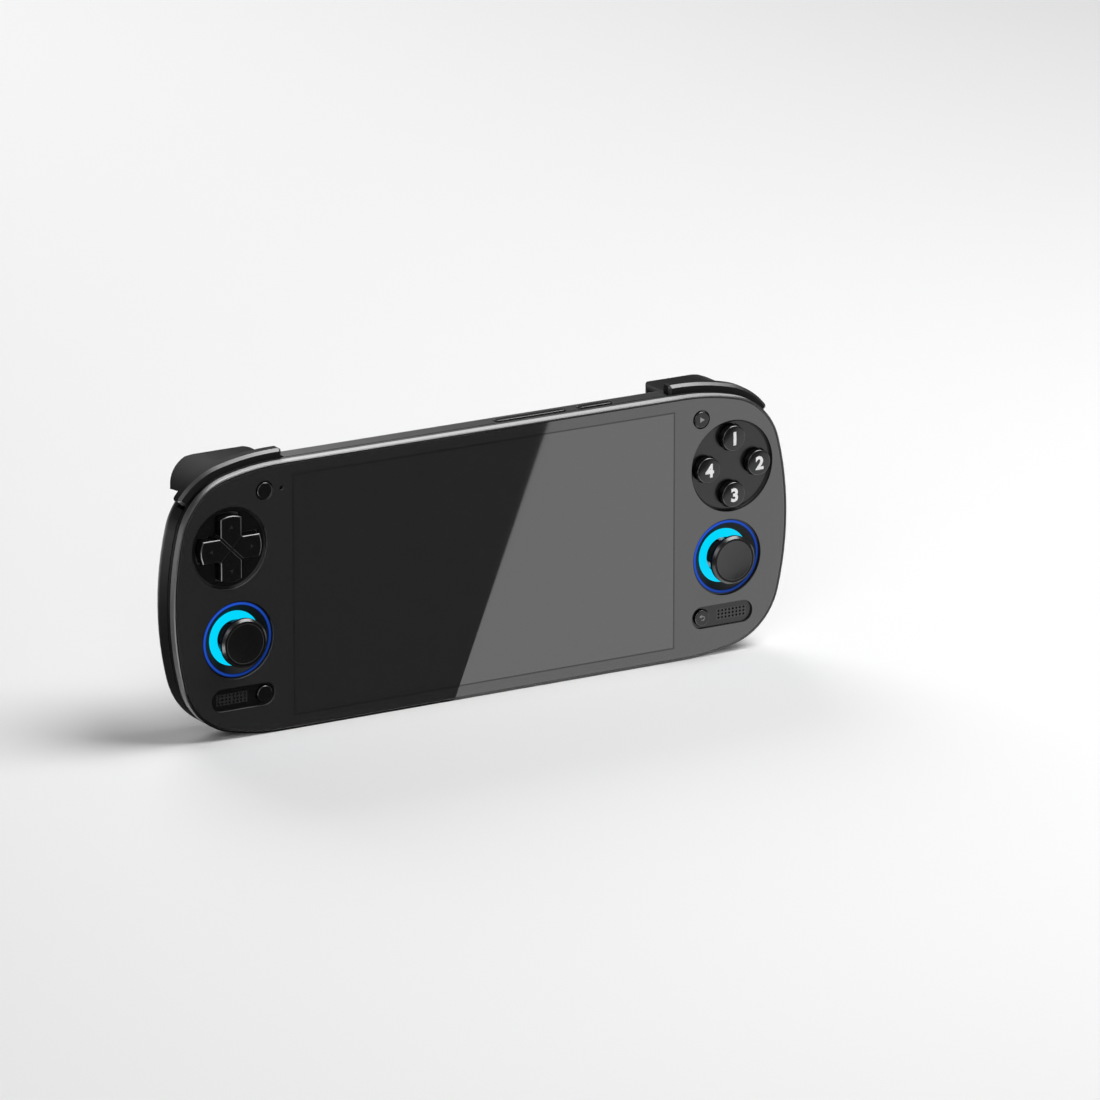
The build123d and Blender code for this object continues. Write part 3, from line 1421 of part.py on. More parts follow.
pieces["right_shoulder_bracket"] = right_shoulder_bracket.part


# The four pins: one across each trigger and one through each shoulder key's foot
with BuildPart() as shoulder_pins:
    with BuildSketch(side_plane(trigger_pin_ends[0])):
        with Locations((trigger_pin_depth, trigger_pin_z)):
            Circle(trigger_pin_radius)
    extrude(amount=trigger_pin_ends[1] - trigger_pin_ends[0])
    with BuildSketch(face_plane(bumper_pin_back)):
        with Locations((bumper_pin_x, bumper_pin_z)):
            Circle(bumper_pin_radius)
    extrude(amount=bumper_pin_back - bumper_pin_front)
    mirror(about=Plane.YZ)
pieces["shoulder_pins"] = shoulder_pins.part


# Keys on the top edge: a long volume rocker and a short power button, each with a lip inside the shell
def top_key(key_x, length, drop):
    """Stadium key that stands out of the top edge; its lip lies a drop below the shell's wall."""
    lip_top = inner_half_height - drop
    with BuildPart() as key:
        with BuildSketch(level_plane(lip_top)):
            with Locations((key_x, key_depth)):
                add(stadium(length, key_width))
        extrude(amount=body_half_height + key_rise - lip_top)
        fillet(key.edges().group_by(Axis.Z)[-1], key_rise / 2)
        with BuildSketch(level_plane(lip_top)):
            with Locations((key_x, key_depth)):
                add(stadium(length + 2 * key_lip, key_width + 2 * key_lip))
        extrude(amount=-key_lip_height)
    return key.part


pieces["volume_rocker"] = top_key(rocker_key_x, rocker_key_length, rocker_key_drop)
pieces["power_button"] = top_key(power_key_x, power_key_length, seat_gap)

with BuildPart() as key_board:
    with BuildSketch(level_plane(key_board_top)):
        with Locations((key_board_x, key_depth)):
            Rectangle(key_board_length, key_board_width)
    extrude(amount=-key_board_thickness)
pieces["key_board"] = key_board.part


# Battery pack bonded to the back of the web
with BuildPart() as battery:
    with BuildSketch(face_plane(web_back + battery_thickness)):
        with Locations((0, battery_z)):
            RectangleRounded(battery_length, battery_height, battery_corner)
    extrude(amount=battery_thickness)
pieces["battery"] = battery.part


# Main board with its processor and a shield can
with BuildPart() as main_board:
    with BuildSketch(face_plane(board_back)):
        with Locations((main_board_x, main_board_z)):
            Rectangle(main_board_length, main_board_height)
    extrude(amount=board_thickness)
    with BuildSketch(face_plane(board_back)):
        with Locations((chip_x, chip_z)):
            Rectangle(chip_size, chip_size)
    extrude(amount=-chip_height)
    with BuildSketch(face_plane(board_back)):
        with Locations((shield_x, chip_z)):
            Rectangle(shield_length, shield_height)
    extrude(amount=-shield_thickness)
pieces["main_board"] = main_board.part


# Lower board on two posts of the shell, with the charging port, headphone jack and card socket on it
with BuildPart() as lower_board:
    with BuildSketch(face_plane(lower_board_front + lower_board_thickness)):
        with Locations((lower_board_x, lower_board_low_z)):
            Rectangle(lower_board_length, lower_board_height, align=(Align.CENTER, Align.MIN))
    extrude(amount=lower_board_thickness)
pieces["lower_board"] = lower_board.part

usb_mouth_z = port_setback - body_half_height
with BuildPart() as usb_c_port:
    with BuildSketch(level_plane(usb_mouth_z)):
        with Locations((usb_x, port_depth)):
            add(stadium(usb_width, usb_thickness))
    extrude(amount=usb_length)
    with BuildSketch(level_plane(usb_mouth_z)):
        with Locations((usb_x, port_depth)):
            add(stadium(usb_width - 2 * usb_wall, usb_thickness - 2 * usb_wall))
    extrude(amount=usb_length - usb_wall, mode=Mode.SUBTRACT)
    with BuildSketch(level_plane(usb_mouth_z + usb_length)):
        with Locations((usb_x, port_depth)):
            Rectangle(usb_tongue_width, usb_tongue_thickness)
    extrude(amount=usb_wall + port_setback - usb_length)
    with BuildSketch(face_plane(lower_board_front)):
        with Locations((usb_x, usb_mouth_z + usb_length)):
            Rectangle(usb_width - usb_thickness, usb_length / 2, align=(Align.CENTER, Align.MAX))
    extrude(amount=lower_board_front - port_depth - usb_thickness / 2 + usb_wall / 2)
pieces["usb_c_port"] = usb_c_port.part

with BuildPart() as audio_jack:
    with BuildSketch(level_plane(port_setback - body_half_height)):
        with Locations((jack_x, port_depth)):
            Circle(jack_nose_radius)
    extrude(amount=jack_bore_length)
    with BuildSketch(face_plane(lower_board_front)):
        with Locations((jack_x, -inner_half_height)):
            Rectangle(jack_width, jack_bore_length - shell_wall, align=(Align.CENTER, Align.MIN))
    extrude(amount=lower_board_front - jack_front)
    with BuildSketch(level_plane(port_setback - body_half_height)):
        with Locations((jack_x, port_depth)):
            Circle(jack_bore_radius)
    extrude(amount=jack_bore_length, mode=Mode.SUBTRACT)
pieces["audio_jack"] = audio_jack.part

with BuildPart() as card_socket:
    with BuildSketch(face_plane(lower_board_front)):
        with Locations((card_x, -inner_half_height)):
            Rectangle(card_body_width, card_body_length, align=(Align.CENTER, Align.MIN))
    extrude(amount=lower_board_front - card_body_front)
    with BuildSketch(level_plane(-inner_half_height)):
        with Locations((card_x, port_depth)):
            Rectangle(card_slot_width, card_slot_height)
    extrude(amount=card_slot_length, mode=Mode.SUBTRACT)
pieces["card_socket"] = card_socket.part


# Fan: square housing with a round inlet at the back and an outlet towards the fins
with BuildPart() as fan_housing:
    with BuildSketch(face_plane(fan_back)):
        with Locations((fan_x, fan_z)):
            RectangleRounded(fan_size, fan_size, fan_corner)
    extrude(amount=fan_back - fan_front)
    with BuildSketch(face_plane(fan_back - fan_wall)):
        with Locations((fan_x, fan_z)):
            Circle(fan_cavity_radius)
            Rectangle(fan_outlet_height, fan_size, align=(Align.CENTER, Align.MIN))
    extrude(amount=fan_back - fan_front - 2 * fan_wall, mode=Mode.SUBTRACT)
    with BuildSketch(face_plane(fan_back)):
        with Locations((fan_x, fan_z)):
            Circle(fan_inlet_radius)
    extrude(amount=fan_wall, mode=Mode.SUBTRACT)
    with BuildSketch(face_plane(fan_back - fan_wall)):
        with Locations((fan_x, fan_z)):
            Circle(fan_spindle_radius)
    extrude(amount=fan_back - fan_front - fan_wall - fan_wall)
pieces["fan_housing"] = fan_housing.part

fan_rotor_front = fan_front + fan_wall + fan_rotor_gap
fan_rotor_back = fan_back - fan_wall - fan_rotor_gap
fan_blade_middle_radius = (fan_blade_root_radius + fan_blade_tip_radius) / 2
with BuildPart() as fan_rotor:
    with BuildSketch(face_plane(fan_rotor_back)) as blades:
        with Locations((fan_x, fan_z)):
            Circle(fan_hub_radius)
        for blade in range(fan_blade_count):
            turn = blade * 360 / fan_blade_count
            root = polar((fan_x, fan_z), fan_blade_root_radius, turn)
            tip = polar((fan_x, fan_z), fan_blade_tip_radius, turn + fan_blade_sweep)
            middle = polar((fan_x, fan_z), fan_blade_middle_radius, turn + fan_blade_sweep / 3)
            with BuildLine(mode=Mode.PRIVATE) as blade_line:
                ThreePointArc(root, middle, tip)
            trace(blade_line.line, fan_blade_thickness)
        with Locations((fan_x, fan_z)):
            Circle(fan_spindle_radius + running_gap, mode=Mode.SUBTRACT)
    extrude(amount=fan_rotor_back - fan_rotor_front)
pieces["fan_rotor"] = fan_rotor.part


# Fin stack above the fan's outlet, and the flat heat pipe that runs through it from the processor
pipe_front = board_back + chip_height
fin_pitch = (sink_length - fin_thickness) / (fin_count - 1)
with BuildPart() as heat_sink:
    with BuildSketch(face_plane(sink_back)):
        with Locations((sink_x, sink_middle_z)):
            Rectangle(sink_length, sink_height)
    extrude(amount=sink_plate)
    with BuildSketch(face_plane(sink_front + sink_plate)):
        with Locations((sink_x, sink_middle_z)):
            Rectangle(sink_length, sink_height)
    extrude(amount=sink_plate)
    with BuildSketch(face_plane(sink_back)):
        with Locations((sink_x, sink_middle_z)):
            with GridLocations(fin_pitch, 0, fin_count, 1):
                Rectangle(fin_thickness, sink_height)
    extrude(amount=sink_back - sink_front)
    with BuildSketch(face_plane(pipe_front + pipe_thickness)):
        with Locations((sink_x, pipe_z)):
            Rectangle(sink_length, pipe_width)
    extrude(amount=pipe_thickness, mode=Mode.SUBTRACT)
pieces["heat_sink"] = heat_sink.part

with BuildPart() as heat_pipe:
    with BuildSketch(face_plane(pipe_front + pipe_thickness)):
        with BuildLine() as pipe_line:
            FilletPolyline(
                (chip_x, chip_z - chip_size / 2),
                (chip_x, pipe_z),
                (pipe_end_x, pipe_z),
                radius=pipe_bend_radius,
            )
        trace(pipe_line.line, pipe_width)
    extrude(amount=pipe_thickness)
pieces["heat_pipe"] = heat_pipe.part


# Vibration motor in each grip
motor_back = shell_floor_depth + grip_rise
with BuildPart() as right_vibration_motor:
    with BuildSketch(face_plane(motor_back)):
        with Locations((grip_x, motor_z)):
            Circle(motor_radius)
    extrude(amount=motor_thickness)


# Left pieces mirror the right ones; pairs that never move share a node
shared_pairs = {
    "stick_wells": right_stick_well,
    "light_rings": right_light_ring,
    "glow_discs": right_glow_disc,
    "speakers": right_speaker,
    "vibration_motors": right_vibration_motor,
}
for name, right_piece in shared_pairs.items():
    with BuildPart() as pair:
        add(right_piece.part)
        mirror(right_piece.part, about=Plane.YZ)
    pieces[name] = pair.part
for name in [name for name in pieces if name.startswith("right_")]:
    pieces.setdefault(name.replace("right_", "left_"), mirrored(pieces[name]))

os.makedirs("parts", exist_ok=True)
for name, piece in pieces.items():
    piece.label = name
    export_step(piece, f"parts/{name}.step")
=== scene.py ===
import bmesh
import bpy
import math
from mathutils import Matrix, Vector


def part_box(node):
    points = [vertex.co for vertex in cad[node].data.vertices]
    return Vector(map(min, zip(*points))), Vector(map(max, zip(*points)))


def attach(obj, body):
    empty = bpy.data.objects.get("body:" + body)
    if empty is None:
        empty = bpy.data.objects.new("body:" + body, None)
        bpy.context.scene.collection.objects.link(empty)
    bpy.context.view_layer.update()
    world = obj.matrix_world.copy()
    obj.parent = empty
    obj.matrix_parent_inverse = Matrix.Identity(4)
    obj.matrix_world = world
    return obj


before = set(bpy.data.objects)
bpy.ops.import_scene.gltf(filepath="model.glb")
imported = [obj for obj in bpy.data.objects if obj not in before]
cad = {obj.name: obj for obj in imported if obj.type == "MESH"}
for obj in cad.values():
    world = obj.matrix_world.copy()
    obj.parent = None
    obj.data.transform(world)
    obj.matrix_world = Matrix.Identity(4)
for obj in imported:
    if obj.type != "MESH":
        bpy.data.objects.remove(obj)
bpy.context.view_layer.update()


# Fine grain of moulded plastic and blasted metal, as a node group that most surfaces share.
# It puts out a bump height and a small change of roughness. The functions here lay the nodes and wires
# of a tree from tables, start a node group, and give a material the grain.
def lay_nodes(tree, kinds, wires, known=None):
    # kinds holds name: (node type, its operation, data type or group, {input: value}),
    # and wires holds (from, output, to, input). A wire can also name a node of the table known,
    # or "shader", the one that the tree starts with.
    laid = {"shader": tree.nodes.get("Principled BSDF") or tree.nodes.get("Background"), **(known or {})}
    setting_names = {"ShaderNodeMix": "data_type", "ShaderNodeGroup": "node_tree"}
    for name, (kind, setting, values) in kinds.items():
        laid[name] = tree.nodes.new(kind)
        if setting:
            setattr(laid[name], setting_names.get(kind, "operation"), setting)
        for socket, value in values.items():
            laid[name].inputs[socket].default_value = value
    for source, output, target, socket in wires:
        tree.links.new(laid[source].outputs[output], laid[target].inputs[socket])
    return laid


def start_group(name, inputs, outputs):
    group = bpy.data.node_groups.new(name, "ShaderNodeTree")
    for socket, start in inputs.items():
        made = group.interface.new_socket(socket, in_out="INPUT", socket_type="NodeSocketFloat")
        made.default_value = start
    for socket in outputs:
        group.interface.new_socket(socket, in_out="OUTPUT", socket_type="NodeSocketFloat")
    return group


noise_middle = 0.5
grain = start_group("fine_grain", {"Scale": 4000.0, "Depth": 1.0, "Roughness": 0.5, "Variation": 0.08},
                    ("Height", "Roughness"))
lay_nodes(grain, {
    "in": ("NodeGroupInput", None, {}),
    "out": ("NodeGroupOutput", None, {}),
    "place": ("ShaderNodeTexCoord", None, {}),
    "fine": ("ShaderNodeTexNoise", None, {"Detail": 2.0}),
    "broad": ("ShaderNodeTexNoise", None, {"Scale": 45.0, "Detail": 3.0}),
    "depth": ("ShaderNodeMath", "MULTIPLY", {}),
    "middle": ("ShaderNodeMath", "SUBTRACT", {1: noise_middle}),
    "swing": ("ShaderNodeMath", "MULTIPLY_ADD", {}),
}, (
    ("place", "Object", "fine", "Vector"), ("in", "Scale", "fine", "Scale"), ("fine", 0, "depth", 0),
    ("in", "Depth", "depth", 1), ("depth", 0, "out", "Height"), ("place", "Object", "broad", "Vector"),
    ("broad", 0, "middle", 0), ("middle", 0, "swing", 0), ("in", "Variation", "swing", 1),
    ("in", "Roughness", "swing", 2), ("swing", 0, "out", "Roughness"),
))


def add_grain(material, values, strength=0.0, distance=0.00003):
    kinds = {"grain": ("ShaderNodeGroup", grain, values)}
    wires = [("grain", "Roughness", "shader", "Roughness")]
    if strength:
        kinds["bump"] = ("ShaderNodeBump", None, {"Strength": strength, "Distance": distance})
        wires += [("grain", "Height", "bump", "Height"), ("bump", "Normal", "shader", "Normal")]
    return lay_nodes(material.node_tree, kinds, wires)


# Mask of an upright rectangle on the front, in the console's own frame, to draw the display behind the glass.
# It puts out 1 inside the rectangle and 0 outside, the same through the whole thickness.
display_half_width, display_half_height, display_middle = 0.0775, 0.0436, 0.04908
window = start_group("front_window", {"Half Width": display_half_width, "Half Height": display_half_height,
                                      "Centre Height": display_middle}, ("Mask",))
lay_nodes(window, {
    "in": ("NodeGroupInput", None, {}),
    "out": ("NodeGroupOutput", None, {}),
    "place": ("ShaderNodeTexCoord", None, {}),
    "split": ("ShaderNodeSeparateXYZ", None, {}),
    "across": ("ShaderNodeMath", "ABSOLUTE", {}),
    "rise": ("ShaderNodeMath", "SUBTRACT", {}),
    "up": ("ShaderNodeMath", "ABSOLUTE", {}),
    "wide": ("ShaderNodeMath", "LESS_THAN", {}),
    "high": ("ShaderNodeMath", "LESS_THAN", {}),
    "both": ("ShaderNodeMath", "MULTIPLY", {}),
}, (
    ("place", "Object", "split", 0), ("split", "X", "across", 0), ("across", 0, "wide", 0),
    ("in", "Half Width", "wide", 1), ("split", "Z", "rise", 0), ("in", "Centre Height", "rise", 1),
    ("rise", 0, "up", 0), ("up", 0, "high", 0), ("in", "Half Height", "high", 1), ("wide", 0, "both", 0),
    ("high", 0, "both", 1), ("both", 0, "out", "Mask"),
))


# Cover glass: one sheet of near-black glass over the whole front, bonded to the mid frame, with a clear
# reflection. The display shows through it inside a thin dark line. Its ground edges are dull, and on the
# left half those that face up and left are painted paler, as a painted highlight.
def start_material(name, values):
    material = bpy.data.materials.new(name)
    material.use_nodes = True
    for socket, value in values.items():
        material.node_tree.nodes["Principled BSDF"].inputs[socket].default_value = value
    return material


def dress(name, material):
    cad[name].data.materials.clear()
    cad[name].data.materials.append(material)


line_width = 0.0006
front_face, up_left, least_lit = -0.95, (-0.5, 0, 0.86), 0.2
glass = start_material("cover_glass", {"IOR": 1.6, "Coat IOR": 1.6})
glass_laid = lay_nodes(glass.node_tree, {
    "display": ("ShaderNodeGroup", window, {}),
    "line": ("ShaderNodeGroup", window, {"Half Width": display_half_width + line_width,
                                         "Half Height": display_half_height + line_width}),
    "tone": ("ShaderNodeMix", "RGBA", {"A": (0.021, 0.021, 0.0212, 1), "B": (0.012, 0.012, 0.012, 1)}),
    "colour": ("ShaderNodeMix", "RGBA", {"B": (0.0185, 0.0185, 0.0187, 1)}),
    "film": ("ShaderNodeMapRange", None, {"To Min": 0.7, "To Max": 0.0}),
    "coat": ("ShaderNodeMath", "MAXIMUM", {}),
    "normal": ("ShaderNodeNewGeometry", None, {}),
    "facing": ("ShaderNodeSeparateXYZ", None, {}),
    "edge": ("ShaderNodeMath", "GREATER_THAN", {1: front_face}),
    "dull": ("ShaderNodeMapRange", None, {"To Min": 0.03, "To Max": 0.6}),
    "face": ("ShaderNodeMath", "SUBTRACT", {}),
    "slope": ("ShaderNodeVectorMath", "DOT_PRODUCT", {1: up_left}),
    "painted_lit_facing": ("ShaderNodeMath", "GREATER_THAN", {1: least_lit}),
    "place": ("ShaderNodeTexCoord", None, {}),
    "across": ("ShaderNodeSeparateXYZ", None, {}),
    "left": ("ShaderNodeMath", "LESS_THAN", {1: 0.0}),
    "painted_lit_left": ("ShaderNodeMath", "MULTIPLY", {}),
    "painted_highlight_edges": ("ShaderNodeMath", "MULTIPLY", {}),
    # painted highlight: ground edges on the left half that face up and left get a paler base colour
    "colour_with_painted_highlight": ("ShaderNodeMix", "RGBA", {"B": (0.13, 0.13, 0.13, 1)}),
}, (
    ("line", "Mask", "tone", "Factor"), ("tone", "Result", "colour", "A"),
    ("display", "Mask", "colour", "Factor"), ("colour", "Result", "colour_with_painted_highlight", "A"),
    ("colour_with_painted_highlight", "Result", "shader", "Base Color"), ("normal", "True Normal", "facing", 0),
    ("facing", "Y", "edge", 0), ("edge", 0, "dull", "Value"), ("dull", "Result", "shader", "Roughness"),
    ("line", "Mask", "film", "Value"), ("film", "Result", "coat", 0), ("display", "Mask", "coat", 1),
    ("coat", 0, "face", 0), ("edge", 0, "face", 1), ("face", 0, "shader", "Coat Weight"),
    ("normal", "True Normal", "slope", 0), ("slope", "Value", "painted_lit_facing", 0), ("place", "Object", "across", 0),
    ("across", "X", "left", 0), ("painted_lit_facing", 0, "painted_lit_left", 0), ("left", 0, "painted_lit_left", 1),
    ("painted_lit_left", 0, "painted_highlight_edges", 0), ("edge", 0, "painted_highlight_edges", 1), ("painted_highlight_edges", 0, "colour_with_painted_highlight", "Factor"),
))
glass_laid["face"].use_clamp = True
dress("front_glass", glass)


# Display module behind the glass: a black panel with a faint pixel grid, glued to the glass from behind.
# It shows only where the glass is taken off.
display = start_material("display", {"Roughness": 0.2})
lay_nodes(display.node_tree, {
    "grid": ("ShaderNodeTexVoronoi", None, {"Scale": 6000.0, "Randomness": 0.0}),
    "tone": ("ShaderNodeMix", "RGBA", {"A": (0.010, 0.010, 0.011, 1), "B": (0.016, 0.016, 0.018, 1)}),
}, (("grid", "Distance", "tone", "Factor"), ("tone", "Result", "shader", "Base Color")))
dress("display_panel", display)


# Mid frame: blasted and anodised aluminium, the bright band round the glass, 3.2 mm deep. Its top and lower
# faces are painted paler and less metallic, as painted light. Its chamfer is bright at the top and left and
# painted dark where it faces right or down, as painted shade, and behind the band the metal is dark.
band_back, rim_facing, chamfer_start = -0.0053, -0.9, -0.6
right_and_down, top_leaning_right = (0.55, 0, -1), (0.35, 0, 1)
metal = start_material("frame_metal", {})
lay_nodes(metal.node_tree, {
    "normal": ("ShaderNodeNewGeometry", None, {}),
    "facing": ("ShaderNodeSeparateXYZ", None, {}),
    "front": ("ShaderNodeMapRange", None, {"From Min": chamfer_start, "From Max": -0.65}),
    "rim": ("ShaderNodeMath", "LESS_THAN", {1: rim_facing}),
    "cut": ("ShaderNodeMath", "LESS_THAN", {1: chamfer_start}),
    # painted shade: where the chamfer faces right or down its colour goes to near black
    "lean": ("ShaderNodeVectorMath", "DOT_PRODUCT", {1: right_and_down}),
    "painted_lit_facing": ("ShaderNodeMapRange", None, {"From Min": 0.1, "From Max": 0.35, "To Min": 1.0, "To Max": 0.0}),
    "chamfer_and_painted_shade": ("ShaderNodeMix", "RGBA", {"A": (0.004, 0.004, 0.004, 1), "B": (0.11, 0.11, 0.111, 1)}),
    "edge": ("ShaderNodeMix", "RGBA", {"B": (0.08, 0.08, 0.08, 1)}),
    # painted light: faces turned to the top or below get a paler, less metallic finish
    "rise": ("ShaderNodeVectorMath", "DOT_PRODUCT", {1: top_leaning_right}),
    "top": ("ShaderNodeMapRange", None, {"From Min": 0.6, "From Max": 0.9}),
    "low": ("ShaderNodeMapRange", None, {"From Min": -0.1, "From Max": -0.5}),
    "painted_light_faces": ("ShaderNodeMath", "MAXIMUM", {}),
    "painted_light_metallic": ("ShaderNodeMapRange", None, {"To Min": 0.95, "To Max": 0.25}),
    "metal_and_painted_light": ("ShaderNodeMix", "RGBA", {"A": (0.48, 0.48, 0.483, 1), "B": (0.58, 0.58, 0.584, 1)}),
    "place": ("ShaderNodeTexCoord", None, {}),
    "depth": ("ShaderNodeSeparateXYZ", None, {}),
    "behind": ("ShaderNodeMath", "GREATER_THAN", {1: band_back}),
    "side": ("ShaderNodeMix", "RGBA", {"B": (0.03, 0.03, 0.03, 1)}),
    "colour": ("ShaderNodeMix", "RGBA", {}),
}, (
    ("normal", "True Normal", "facing", 0), ("facing", "Y", "front", "Value"), ("facing", "Y", "rim", 0),
    ("facing", "Y", "cut", 0), ("facing", "Z", "low", "Value"), ("normal", "True Normal", "rise", 0),
    ("rise", "Value", "top", "Value"), ("top", "Result", "painted_light_faces", 0), ("low", "Result", "painted_light_faces", 1),
    ("painted_light_faces", 0, "metal_and_painted_light", "Factor"), ("painted_light_faces", 0, "painted_light_metallic", "Value"),
    ("painted_light_metallic", "Result", "front", "To Min"), ("front", "Result", "shader", "Metallic"),
    ("metal_and_painted_light", "Result", "side", "A"), ("place", "Object", "depth", 0), ("depth", "Y", "behind", 0),
    ("behind", 0, "side", "Factor"), ("side", "Result", "colour", "A"),
    ("normal", "True Normal", "lean", 0), ("lean", "Value", "painted_lit_facing", "Value"),
    ("painted_lit_facing", "Result", "chamfer_and_painted_shade", "Factor"), ("chamfer_and_painted_shade", "Result", "edge", "A"),
    ("rim", 0, "edge", "Factor"), ("edge", "Result", "colour", "B"), ("cut", 0, "colour", "Factor"),
    ("colour", "Result", "shader", "Base Color"),
))
add_grain(metal, {"Scale": 5000.0, "Roughness": 0.45}, 0.12)
dress("mid_frame", metal)


# Rear shell: black moulded plastic with a fine spark-eroded texture, screwed to the mid frame from behind.
# The texture shows as a soft sheen along the top edge and the grips.
shell = start_material("shell_plastic", {"Base Color": (0.009, 0.009, 0.0094, 1), "IOR": 1.5})
add_grain(shell, {"Scale": 2600.0, "Roughness": 0.38}, 0.35, 0.00006)
dress("rear_shell", shell)


# Dishes and stick wells: satin black mouldings set into holes of the glass, from behind.
# Their flat faces have a little less sheen than the glass beside them, and their walls are dull.
dish_black = (0.0045, 0.0045, 0.0047, 1)
dish = start_material("dish_plastic", {"Base Color": dish_black, "IOR": 1.52})
lay_nodes(dish.node_tree, {
    "normal": ("ShaderNodeNewGeometry", None, {}),
    "facing": ("ShaderNodeSeparateXYZ", None, {}),
    "slope": ("ShaderNodeMapRange", None, {"From Min": -0.99, "From Max": -0.95,
                                           "To Min": 0.24, "To Max": 0.6}),
}, (
    ("normal", "True Normal", "facing", 0), ("facing", "Y", "slope", "Value"),
    ("slope", "Result", "grain", "Roughness"),
), add_grain(dish, {"Scale": 5000.0, "Variation": 0.04}, 0.08))
for name in ("dpad_dish", "face_dish", "stick_wells"):
    dress(name, dish)


# Pill plates: the plastic of the dishes, with a paler field of 12.4 by 4 mm round the holes of each grille.
# The field's middle is 4.25 mm from the plate's, away from the button, on both sides alike.
def middle(low, high):
    return (low.x + high.x) / 2, low.y, (low.z + high.z) / 2


field_half_width, field_half_height, field_offset = 0.0062, 0.0020, 0.00425
plate_x, plate_y, plate_z = middle(*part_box("right_pill_plate"))
pill = dish.copy()
pill.name = "pill_plastic"
lay_nodes(pill.node_tree, {
    "place": ("ShaderNodeTexCoord", None, {}),
    "folded": ("ShaderNodeVectorMath", "ABSOLUTE", {}),
    "centred": ("ShaderNodeVectorMath", "SUBTRACT", {1: (plate_x + field_offset, 0, plate_z)}),
    "away": ("ShaderNodeVectorMath", "ABSOLUTE", {}),
    "split": ("ShaderNodeSeparateXYZ", None, {}),
    "wide": ("ShaderNodeMath", "LESS_THAN", {1: field_half_width}),
    "high": ("ShaderNodeMath", "LESS_THAN", {1: field_half_height}),
    "field": ("ShaderNodeMath", "MULTIPLY", {}),
    "colour": ("ShaderNodeMix", "RGBA", {"A": dish_black, "B": (0.024, 0.024, 0.024, 1)}),
}, (
    ("place", "Object", "folded", 0), ("folded", 0, "centred", 0), ("centred", 0, "away", 0),
    ("away", 0, "split", 0), ("split", "X", "wide", 0), ("split", "Z", "high", 0), ("wide", 0, "field", 0),
    ("high", 0, "field", 1), ("field", 0, "colour", "Factor"), ("colour", "Result", "shader", "Base Color"),
))
for name in ("left_pill_plate", "right_pill_plate"):
    dress(name, pill)


# Keys: satin black caps whose round edges catch the light, with a softer and stronger sheen there.
# One moulded plastic serves the round buttons, held by silicone or boards, and the keys on the top edge.
key_black, key_roughness = (0.005, 0.005, 0.0052, 1), 0.22
round_facing, round_spread = -0.6, 0.3
key = start_material("key_plastic", {"Base Color": key_black, "IOR": 1.5, "Coat IOR": 1.75,
                                     "Coat Roughness": 0.35})
lay_nodes(key.node_tree, {
    "normal": ("ShaderNodeNewGeometry", None, {}),
    "facing": ("ShaderNodeSeparateXYZ", None, {}),
    "round": ("ShaderNodeMath", "COMPARE", {1: round_facing, 2: round_spread}),
}, (("normal", "Normal", "facing", 0), ("facing", "Y", "round", 0), ("round", 0, "shader", "Coat Weight")))
add_grain(key, {"Scale": 4500.0, "Roughness": key_roughness, "Variation": 0.05}, 0.08)
for name in ("face_button_top", "face_button_right", "face_button_bottom", "face_button_left",
             "left_menu_button", "right_menu_button", "left_pill_button", "right_pill_button",
             "volume_rocker", "power_button"):
    dress(name, key)


